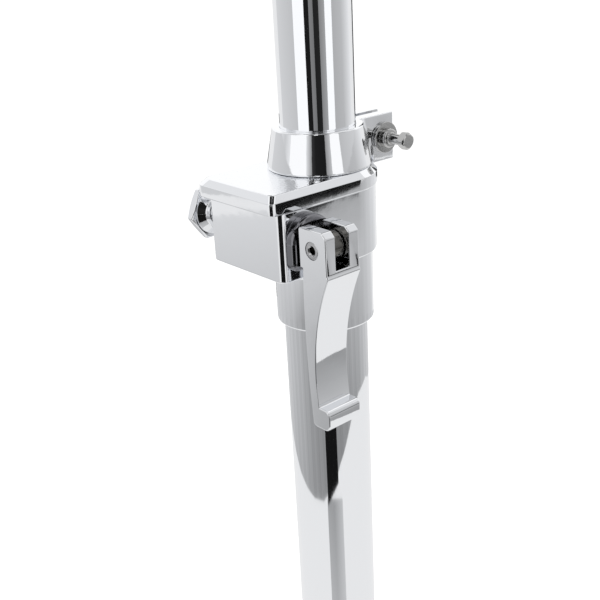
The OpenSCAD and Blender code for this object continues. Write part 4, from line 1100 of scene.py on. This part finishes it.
# Wing bolt and nut of the socket
# Forged wing bolt through the ears. The wings stand off on a neck, so that they clear the
# socket's wall as they turn, and a hexagon nut holds the other end.
bolt_box_front, bolt_box_rear = extent("socket_wing_bolt", "y")
SOCKET_WING_Y = -bolt_box_front - WING_H
SOCKET_NUT_FLATS = 12.8
SOCKET_NUT_T = 6.0
SOCKET_FACE = SOCKET_EAR_W / 2
AGAINST_Y = Matrix.Rotation(math.pi / 2, 4, "X")
socket_wings = wings("socket_wing_bolt_steel", at(ON_SOCKET_BOLT, 0, -SOCKET_WING_Y, 0) @ AGAINST_Y)
socket_neck = turned("neck", [(0, -SOCKET_WING_Y - 2, 0), (WING_HUB_R, -SOCKET_WING_Y - 2, 0),
    (WING_HUB_R, -SOCKET_FACE - 0.3, 0.6), (SCREW_R, -SOCKET_FACE - 0.3, 0), (SCREW_R, bolt_box_rear, 0.8),
    (0, bolt_box_rear, 0)], SOCKET_LINE, 96)
fitted(joined(socket_wings, socket_neck), "socket_screw", BAR_CHROME, "chrome", "socket_wing_bolt")
socket_nut = hexagon_head("socket_nut_steel", SOCKET_NUT_FLATS, SOCKET_FACE, SOCKET_FACE + SOCKET_NUT_T,
    0.9, SOCKET_LINE)
socket_nut = carved(socket_nut, rod(SCREW_R + PLAY, 0, 30, SOCKET_LINE, 64))
fitted(eased(socket_nut, 0.2, 2), "upper", ZINC_STEEL, "bolt_steel", "socket_nut")

# Second memory lock
# Plain cast ring on the top tube that keeps its height, with two ears and a key bolt.
LOCK2_FOOT, LOCK2_TOP = extent("second_lock", "z")
LOCK2_REACH, LOCK2_R = reaches("second_lock")
HALF_TURN = Matrix.Rotation(math.pi, 4, "Z")
ON_LOCK2 = ON_AXIS @ HALF_TURN
LOCK2_KEY_X = (AXIS_X - middle("second_key_nut", "x")) / MM
ON_KEY2 = ON_LOCK2 @ upright(LOCK2_KEY_X * MM, 0.0, middle("second_key_nut", "z"))
lock2 = turned("second_lock_casting", pipe_corners(LOCK2_R, TOP_R + PLAY, LOCK2_FOOT, LOCK2_TOP, 1.0),
    ON_AXIS)
lock2_ears = eased(brick((TOP_R + 2, -EAR_W / 2, LOCK2_FOOT), (LOCK2_REACH, EAR_W / 2, LOCK2_TOP),
    ON_LOCK2), 0.8)
lock2 = carved(joined(lock2, lock2_ears), *ear_cutters(LOCK2_REACH, LOCK2_FOOT, LOCK2_TOP, ON_LOCK2, ON_KEY2))
fitted(lock2, "top_lock", CAST_CHROME, "chrome", "second_lock")
fitted(key_bolt("second_key_bolt_steel", ON_KEY2), "top_lock_key", ZINC_STEEL, "bolt_steel",
    "second_key_bolt")
fitted(square_nut("second_key_nut_steel", ON_KEY2), "top_lock", ZINC_STEEL, "bolt_steel", "second_key_nut")

# Top tube
# Drawn steel tube, 22 mm outside, polished and chrome plated. It slides in the socket's bush
# and the second lock keeps its height.
top_top = extent("top_tube", "z")[1]
TOP_WALL = 1.2
fitted_pipe("top_tube_shell", "z", TOP_R, TOP_R - TOP_WALL, ON_AXIS, "top", TUBE_CHROME, "chrome",
    "top_tube", sides=96)

# Tilter base
# Cast cap on the top tube's end, chrome plated, with an upright disc for the tilter's bolt.
CAP_FOOT, base_top = extent("tilter_base", "z")
BOSS_TOP = extent("tilter_head", "z")[1]
CAP_R = 14.0
DISC_R = 15.0
DISC_T = 10.0
DISC_GAP = 0.3
DISC_FACE = DISC_GAP / 2 + DISC_T
TILT_Z = base_top - DISC_R
CAP_TOP = TILT_Z - 13.0
ON_TILT = upright(AXIS_X, 0.0, TILT_Z * MM)
TILT_LINE = ON_TILT @ ALONG_Y
cap = turned("tilter_base_casting", [(TOP_R, CAP_FOOT, 0.4), (CAP_R, CAP_FOOT, 1.0), (CAP_R, CAP_TOP, 2.0),
    (0, CAP_TOP, 0), (0, top_top, 0), (TOP_R, top_top, 0)], ON_AXIS)


def tilter_disc(name, low, high, low_edge, high_edge):
    """One of the two discs that the bolt clamps together."""
    bore_r = SCREW_R + PLAY
    return turned(name, [(bore_r, low, 0.3), (DISC_R, low, low_edge), (DISC_R, high, high_edge),
        (bore_r, high, 0.3)], TILT_LINE)


STEM_HALF = CAP_R * 0.72
base_disc = tilter_disc("disc", -DISC_FACE, -DISC_GAP / 2, 1.5, 0.5)
stem = brick((-STEM_HALF, -DISC_FACE + 0.4, CAP_TOP - 2), (STEM_HALF, -DISC_GAP / 2 - 0.2, TILT_Z - 8),
    ON_AXIS)
tilter_base = joined(cap, eased(stem, 1.5), base_disc)
fitted(tilter_base, "top", CAST_CHROME, "chrome", "tilter_base")

# Tilter head
# Matching cast disc with a boss that holds the rod. A bolt with a wing nut draws it against
# the base's disc at any tilt.
ROD_Y = DISC_GAP / 2 + DISC_T / 2
BOSS_R = 7.5
BOSS_FOOT = TILT_Z + 7.2
ON_ROD = upright(AXIS_X, ROD_Y * MM, 0.0)
ROD_R = 4.0
ROD_DEPTH = 12.0
head_disc = tilter_disc("tilter_head_casting", DISC_GAP / 2, DISC_FACE, 0.5, 1.5)
boss = turned("boss", bar_corners(BOSS_R, BOSS_FOOT, BOSS_TOP, 1.0, 1.4), ON_ROD)
flat_cut = brick((-20, -20, TILT_Z - 20), (20, DISC_GAP / 2, BOSS_TOP + 1), ON_AXIS)
rod_bore = rod(ROD_R, BOSS_TOP - ROD_DEPTH, BOSS_TOP + 1, ON_ROD, 96)
tilter_head = carved(joined(head_disc, boss), flat_cut, rod_bore)
fitted(tilter_head, "tilt_head", CAST_CHROME, "chrome", "tilter_head")

# Bolt and wing nut of the tilter
# Steel bolt with a domed head in front, and a forged wing nut whose neck reaches the disc.
tilt_bolt_front, tilt_bolt_rear = extent("tilter_bolt", "y")
TILT_HEAD_R = 6.4
tilt_bolt = turned("tilter_bolt_steel", [(0, tilt_bolt_front, 0), (4.2, tilt_bolt_front, 1.6),
    (TILT_HEAD_R, -DISC_FACE - 1.6, 1.0), (TILT_HEAD_R, -DISC_FACE, 0.2), (SCREW_R, -DISC_FACE, 0),
    (SCREW_R, tilt_bolt_rear, 0.8), (0, tilt_bolt_rear, 0)], TILT_LINE, 96)
fitted(tilt_bolt, "top", ZINC_STEEL, "bolt_steel", "tilter_bolt")
tilt_nut_rear = extent("tilter_wing_nut", "y")[1]
TILT_WING_Y = tilt_nut_rear - WING_H
tilt_wings = wings("tilter_wing_nut_steel", at(ON_TILT, 0, TILT_WING_Y, 0) @ ALONG_Y)
tilt_neck = turned("neck", bar_corners(WING_HUB_R, DISC_FACE + 0.3, TILT_WING_Y + 2, 0.6), TILT_LINE, 96)
tilt_bore = rod(SCREW_R + PLAY, 0, 60, TILT_LINE, 64)
fitted(carved(joined(tilt_wings, tilt_neck), tilt_bore), "tilt_nut", BAR_CHROME, "chrome",
    "tilter_wing_nut")

# Cymbal rod
# Steel rod in the tilter's boss, threaded for its wing nut, with a plain tip that finds the
# nut. The thread is one ridge wound along the rod.
rod_foot, ROD_END = extent("cymbal_rod", "z")
TIP_R = 3.2
TIP_LEN = 14.0
THREAD_DEPTH = 0.55
THREAD_PITCH = 1.25
THREAD_FOOT = BOSS_TOP + 5.0


def thread_tree():
    """Ridge of a screw thread: a small round-cornered strand wound on a cylinder."""
    tree, given, out = node_group("screw_thread", "GeometryNodeTree",
        [("Radius", "Float", 0.004), ("Height", "Float", 0.02), ("Turns", "Float", 16.0),
        ("Ridge", "Float", 0.0003), ("Foot", "Vector", (0, 0, 0)), ("Finish", "Material", None)],
        [("Geometry", "Geometry")])
    spiral = add(tree, "GeometryNodeCurveSpiral", Resolution=28, Rotations=given["Turns"],
        Start_Radius=given["Radius"], End_Radius=given["Radius"], Height=given["Height"])
    profile = add(tree, "GeometryNodeCurvePrimitiveCircle", Resolution=5, Radius=given["Ridge"])
    sweep = add(tree, "GeometryNodeCurveToMesh", Curve=spiral, Profile_Curve=profile, Fill_Caps=True)
    move = add(tree, "GeometryNodeTransform", Geometry=sweep, Translation=given["Foot"])
    return ended(tree, move, given["Finish"], out)


THREAD = thread_tree()
RIDGE = THREAD_DEPTH / 2
cymbal_rod = turned("cymbal_rod_steel", [(0, rod_foot, 0), (ROD_R, rod_foot, 0.3), (ROD_R, THREAD_FOOT, 0),
    (ROD_R - THREAD_DEPTH, THREAD_FOOT + 0.6, 0), (ROD_R - THREAD_DEPTH, ROD_END - TIP_LEN - 0.8, 0),
    (TIP_R, ROD_END - TIP_LEN, 0.2), (TIP_R, ROD_END, 0.8), (0, ROD_END, 0)], ON_ROD, 64)
fitted(cymbal_rod, "tilt_head", BAR_CHROME, "chrome", "cymbal_rod")
thread_len = ROD_END - TIP_LEN - 1.2 - THREAD_FOOT
thread_values = {"Radius": (ROD_R - RIDGE) * MM, "Height": thread_len * MM,
    "Turns": thread_len / THREAD_PITCH, "Ridge": RIDGE * MM, "Foot": (AXIS_X, ROD_Y * MM, THREAD_FOOT * MM),
    "Finish": BAR_CHROME}
thread = new_piece("cymbal_rod_thread", bpy.data.meshes.new("cymbal_rod_thread"))
fitted(grow(thread, THREAD, thread_values), "tilt_head", BAR_CHROME, "chrome", angle=None)

# Cup washer, sleeve, felts, washer and wing nut on the rod
# A steel cup carries the flanged plastic sleeve. Two pressed felts hold the cymbal between
# them, under a plain washer and the wing nut.
cup_foot, cup_top = extent("cup_washer", "z")
sleeve_foot, sleeve_top = extent("cymbal_sleeve", "z")
CUP_R = half_size("cup_washer", "x")
SLEEVE_TUBE_R = 5.75
FLANGE_R = half_size("cymbal_sleeve", "x")
FLANGE_T = 2.0
cup = turned("cup_washer_steel", [(ROD_R + PLAY, cup_foot, 0.3), (CUP_R - 2, cup_foot, 1.2),
    (CUP_R, cup_foot + 0.7, 0.3), (CUP_R, cup_top, 0.3), (ROD_R + PLAY, cup_top, 0.2)], ON_ROD)
fitted(cup, "tilt_head", BAR_CHROME, "chrome", "cup_washer")
plastic = turned("cymbal_sleeve_plastic", [(ROD_R + PLAY, sleeve_foot, 0.2), (FLANGE_R, sleeve_foot, 0.5),
    (FLANGE_R, sleeve_foot + FLANGE_T, 0.6), (SLEEVE_TUBE_R, sleeve_foot + FLANGE_T, 0.3),
    (SLEEVE_TUBE_R, sleeve_top, 0.6), (ROD_R + PLAY, sleeve_top, 0.3)], ON_ROD, 96)
fitted(plastic, "tilt_head", NYLON, "sleeve_plastic", "cymbal_sleeve")
WASHER_TOP_R = half_size("top_washer", "x")
fitted_pipe("top_washer_disc", "z", WASHER_TOP_R, SLEEVE_TUBE_R + PLAY, ON_ROD, "tilt_head", ZINC_STEEL,
    "bolt_steel", "top_washer", 0.35, 96)
rod_wings = wings("top_wing_nut_steel", ON_ROD @ Matrix.Translation((0, 0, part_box("top_wing_nut")[0].z)),
    ROD_R + PLAY)
fitted(rod_wings, "rod_nut", BAR_CHROME, "chrome", "top_wing_nut")


def pressed_felt():
    """Grey wool felt: matted fibres in two tones, with a soft sheen and a fuzzy relief."""
    material, tree, shader = new_material("pressed_felt")
    for label, value in (("Roughness", 0.95), ("Sheen Weight", 0.35), ("Sheen Roughness", 0.6)):
        feed(tree, shader[label], value)
    place = add(tree, "ShaderNodeTexCoord").outputs["Object"]
    wander = add(tree, "ShaderNodeTexNoise", Vector=place, Scale=500.0, Detail=6.0, Distortion=3.0)
    fibre = add(tree, "ShaderNodeTexNoise", Vector=place, Scale=1800.0, Distortion=5.0)
    feed(tree, shader["Base Color"], two_tones(tree, wander, 0.32, (0.055, 0.055, 0.06), 0.72,
        (0.2, 0.2, 0.21)))
    bump = add(tree, "ShaderNodeBump", Distance=0.0006, Height=fibre)
    feed(tree, shader["Normal"], bump)
    return material


FELT = pressed_felt()
for node_name in ("lower_felt", "upper_felt"):
    felt_r = half_size(node_name, "x") - 0.4
    low, high = extent(node_name, "z")
    crown = (high - low) * 0.42
    felt = turned(node_name + "_washer", [(SLEEVE_TUBE_R + PLAY, low, 0.8), (felt_r, low, crown),
        (felt_r, high, crown), (SLEEVE_TUBE_R + PLAY, high, 0.8)], ON_ROD, 120, steps=9)
    lumps = felt.modifiers.new("lumps", "DISPLACE")
    lump_noise = bpy.data.textures.new("felt_lumps", "CLOUDS")
    lump_noise.noise_scale = 0.004
    lumps.texture = lump_noise
    lumps.strength = 0.0005
    lumps.mid_level = 0.6
    fitted(settled(felt), "tilt_head", FELT, "felt", node_name, angle=60)

# Studio
# Camera at the photograph's viewing angle, a pale floor, one soft lamp above and a ring of
# cards round the stand. The cards show only in reflections, as the flags of a photo studio do.
camera_data = bpy.data.cameras.new("camera")
camera_data.lens = 56.993
camera_data.sensor_width = 36.0
camera = new_piece("camera", camera_data)
CAMERA_FROM_AXIS = Vector((-0.24562, -0.2779))
camera.location = (AXIS_X + CAMERA_FROM_AXIS.x, CAMERA_FROM_AXIS.y, BLOCK_FOOT * MM + 0.12763)
camera.rotation_euler = (math.radians(67.8219), math.radians(2.8908), math.radians(-41.0059))
bpy.context.scene.camera = camera
bpy.context.scene.view_settings.view_transform = "Standard"


def rays(tree, *kinds):
    """One for the named kinds of rays, and nought for the rest."""
    path = add(tree, "ShaderNodeLightPath").outputs
    total = path[kinds[0]]
    for kind in kinds[1:]:
        total = add(tree, "ShaderNodeMath", total, path[kind], operation="MAXIMUM")
    return total


world = bpy.data.worlds.new("studio_world")
bpy.context.scene.world = world
world.use_nodes = True
sky = world.node_tree
seen = rays(sky, "Is Camera Ray", "Is Glossy Ray", "Is Transmission Ray")
strength = add(sky, "ShaderNodeMapRange", Value=seen, To_Min=0.72, To_Max=1.1)
background = sky.nodes["Background"].inputs
feed(sky, background["Color"], (1.0, 1.0, 1.0, 1.0))
feed(sky, background["Strength"], strength)


def glowing_material(name):
    """Material without a surface shader: the material, its tree and the input of its surface."""
    material, tree, _ = new_material(name)
    tree.nodes.remove(tree.nodes["Principled BSDF"])
    return material, tree, tree.nodes["Material Output"].inputs["Surface"]


floor_material, floor_tree, floor_surface = glowing_material("pale_floor")
paint = add(floor_tree, "ShaderNodeBsdfDiffuse", Color=(0.82, 0.82, 0.82, 1.0))
lift_range = add(floor_tree, "ShaderNodeMapRange", Value=rays(floor_tree, "Is Camera Ray"), To_Max=0.5)
lift = add(floor_tree, "ShaderNodeEmission", Strength=lift_range)
lifted = add(floor_tree, "ShaderNodeAddShader", paint, lift)
mirrored = add(floor_tree, "ShaderNodeEmission", Strength=0.9)
total = add(floor_tree, "ShaderNodeMixShader", rays(floor_tree, "Is Glossy Ray", "Is Transmission Ray"),
    lifted, mirrored)
feed(floor_tree, floor_surface, total)
FLOOR_HALF = 30.0
FLOOR_DROP = 0.0002
floor_mesh = bpy.data.meshes.new("floor")
floor_mesh.from_pydata([(-FLOOR_HALF, -FLOOR_HALF, -FLOOR_DROP), (FLOOR_HALF, -FLOOR_HALF, -FLOOR_DROP),
    (FLOOR_HALF, FLOOR_HALF, -FLOOR_DROP), (-FLOOR_HALF, FLOOR_HALF, -FLOOR_DROP)], [], [(0, 1, 2, 3)])
floor = new_piece("floor", floor_mesh)
floor_mesh.materials.append(floor_material)

lamp_data = bpy.data.lights.new("soft_lamp", "AREA")
lamp_data.shape = "DISK"
lamp_data.size = 1.6
lamp_data.energy = 22.0
lamp = new_piece("soft_lamp", lamp_data)
lamp.location = (AXIS_X - 0.6, -0.9, 2.4)
lamp.rotation_euler = (Vector((AXIS_X, 0, 0.6)) - lamp.location).to_track_quat("-Z", "Y").to_euler()
lamp.visible_glossy = False

CAMERA_SIDE = math.degrees(math.atan2(CAMERA_FROM_AXIS.y, CAMERA_FROM_AXIS.x))
CARD_RING = 0.6
FLAG_RING = 0.595
BLACK = 0.008
TUBE_ZONE = (0.43, 0.63)
CONE_ZONE = (0.63, 0.9)
TALL_ZONE = (0.9, 1.7)
card_material, card_tree, card_surface = glowing_material("reflection_card")
grey_of_card = add(card_tree, "ShaderNodeAttribute")
grey_of_card.attribute_name = "grey"
glow = add(card_tree, "ShaderNodeEmission", Color=(0.985, 0.99, 1.0, 1.0),
    Strength=grey_of_card.outputs["Fac"])
feed(card_tree, card_surface, glow)


def card(name, columns, ring=CARD_RING, flat=None, streak=0.0):
    """Curved card round the axis: columns are (angle from the camera, low, high, grey low, grey high)."""
    rows = []
    for first, second in zip(columns, columns[1:]):
        steps = max(1, round((second[0] - first[0]) / 3))
        rows += [[u + (v - u) * k / steps for u, v in zip(first, second)] for k in range(steps)]
    rows.append(list(columns[-1]))
    points = []
    greys = []
    for side, low, high, grey_low, grey_high in rows:
        angle = math.radians(CAMERA_SIDE + side)
        out = Vector((math.cos(angle), math.sin(angle)))
        if flat:
            ends = [(AXIS_X + reach * out.x, reach * out.y, flat) for reach in (low, high)]
        else:
            ends = [(AXIS_X + ring * out.x, ring * out.y, height) for height in (low, high)]
        points += ends
        change = 1.0 + streak * (math.sin(side * 0.9) + math.sin(side * 0.37))
        greys += [grey_low * change, grey_high * change]
    mesh = bpy.data.meshes.new(name)
    mesh.from_pydata(points, [], [(2 * k, 2 * k + 2, 2 * k + 3, 2 * k + 1) for k in range(len(rows) - 1)])
    mesh.attributes.new("grey", "FLOAT", "POINT").data.foreach_set("value", greys)
    mesh.materials.append(card_material)
    piece = new_piece(name, mesh)
    piece.visible_camera = False
    piece.visible_diffuse = False
    piece.visible_shadow = False
    piece.visible_transmission = False


def band(name, zone, *stops, **more):
    """Card between two heights: stops are (angle, grey) or (angle, grey low, grey high)."""
    card(name, [(angle, *zone, greys[0], greys[-1]) for angle, *greys in stops], **more)


card("dark_room", [(-180, 0.175, 0.28, 0.72, 0.72), (-170, 0.165, 0.28, 0.7, 0.7),
    (-152, 0.142, 0.28, 0.64, 0.68), (-130, 0.111, 0.28, 0.54, 0.64), (-107, 0.085, 0.28, 0.47, 0.58),
    (-81, 0.066, 0.28, 0.42, 0.52), (-58, 0.055, 0.28, 0.34, 0.4), (-30, 0.052, 0.28, 0.3, 0.32),
    (5, 0.075, 0.28, 0.28, 0.3), (24, 0.103, 0.28, 0.28, 0.3), (36, 0.117, 0.28, 0.3, 0.34),
    (68, 0.166, 0.28, 0.35, 0.45), (91, 0.188, 0.28, 0.38, 0.47), (128, 0.203, 0.28, 0.58, 0.62),
    (147, 0.2, 0.28, 0.62, 0.7), (165, 0.205, 0.28, 0.7, 0.72), (180, 0.21, 0.28, 0.72, 0.72)], streak=0.05)
band("room_left", (0.28, 0.33), (-180, 0.72, 0.74), (-107, 0.58, 0.66), (-81, 0.54, 0.66), (-58, 0.4, 0.6),
    (-30, 0.32, 0.4), streak=0.02)
band("room_left_top", (0.33, 0.41), (-150, 0.65, 0.76), (-60, 0.65, 0.76))
band("room_right", (0.28, 0.36), (30, 0.34, 0.5), (66, 0.45, 0.56), (91, 0.47, 0.56), (100, 0.52, 0.58),
    (128, 0.64, 0.7), (147, 0.7, 0.8), streak=0.02)
card("room_right_top", [(30, 0.36, 0.4, 0.5, 0.5), (66, 0.36, 0.4, 0.56, 0.46),
    (79, 0.36, 0.41, 0.56, 0.44), (87, 0.36, 0.434, 0.56, 0.44), (100, 0.36, 0.44, 0.58, 0.56),
    (128, 0.36, 0.44, 0.7, 0.78), (147, 0.36, 0.44, 0.8, 0.88)], streak=0.02)
card("camera_shade", [(-17, 0.05, 0.43, BLACK, BLACK), (15.5, 0.08, 0.43, BLACK, BLACK)], ring=FLAG_RING)
card("plate_flag", [(64, 0.38, 0.468, BLACK, BLACK), (73, 0.389, 0.468, BLACK, BLACK),
    (79, 0.404, 0.468, BLACK, BLACK), (84.5, 0.427, 0.468, BLACK, BLACK),
    (87.3, 0.438, 0.468, BLACK, BLACK)], ring=FLAG_RING)
band("corner_flag", (0.32, 0.455), (-38, BLACK), (-17, BLACK), ring=FLAG_RING)
band("plate_patch", (0.44, 0.5), (87.3, 0.5), (90.5, 0.5))
card("nose_flag", [(90.5, 0.446, 0.468, BLACK, BLACK), (125, 0.455, 0.468, BLACK, BLACK)])
band("chamfer_left", (0.95, 1.6), (-128, 0.88), (-93, 0.88))
band("chamfer_right", (0.95, 1.6), (84, 0.82), (118, 0.82))
band("tall_left", TALL_ZONE, (-90, 0.6), (-59, 0.45))
band("tall_black_left", TALL_ZONE, (-26, 0.012), (-12, 0.012))
band("tall_black", TALL_ZONE, (0, 0.012), (16, 0.02), (33, 0.35))
band("tall_right", TALL_ZONE, (54, 0.4), (84, 0.5))
band("back_left_low", (0.3, 0.5), (-176, 0.03), (-167, 0.03), (-155, 0.4))
band("back_right_low", (0.3, 0.5), (168, 0.3), (178, 0.3))
band("ear_flag", (0.458, 0.475), (92, 0.02), (127, 0.02), ring=FLAG_RING)
band("back_left_tall", (1.05, 1.7), (-176, 0.03), (-167, 0.03), (-150, 0.4))
band("back_right_tall", (1.05, 1.7), (150, 0.06), (178, 0.3))
band("overhead", (0.0, 0.56), (-180, 0.02), (180, 0.02), flat=2.2)
band("tube_white_left", TUBE_ZONE, (-59, 1.12), (-26, 1.12))
band("tube_white_right", TUBE_ZONE, (33, 1.12), (54, 1.12))
band("tube_left", TUBE_ZONE, (-125, 0.72), (-59, 0.62, 0.6))
band("tube_black_left", TUBE_ZONE, (-26, 0.012), (-12, 0.012))
band("tube_middle", TUBE_ZONE, (-12, 0.24), (0, 0.2))
band("tube_black", TUBE_ZONE, (0, 0.012, 0.02), (16, 0.02))
band("tube_right", TUBE_ZONE, (16, 0.26), (33, 0.4))
band("tube_right_grey", (0.455, 0.63), (54, 0.48), (85, 0.52, 0.56), (122, 0.85, 0.9))
band("cone_left", CONE_ZONE, (-108, 0.9), (-85, 0.66), (-68, 0.9))
band("cone_speckle", CONE_ZONE, (-28, 0.85), (-16, 0.3))
band("cone_black", CONE_ZONE, (-16, 0.04), (-7, 0.015), (15, 0.012))
band("cone_right", CONE_ZONE, (15, 0.3), (27, 0.6))
band("cone_right_grey", CONE_ZONE, (51, 0.56), (105, 0.72))
band("edge_right", (0.43, 0.9), (148, 0.06), (166, 0.06))
band("floor_shade", (0.36, 0.68), (-19, 0.6, 0.4), (0, 0.55, 0.36), (25, 0.65, 0.6), flat=0.001)
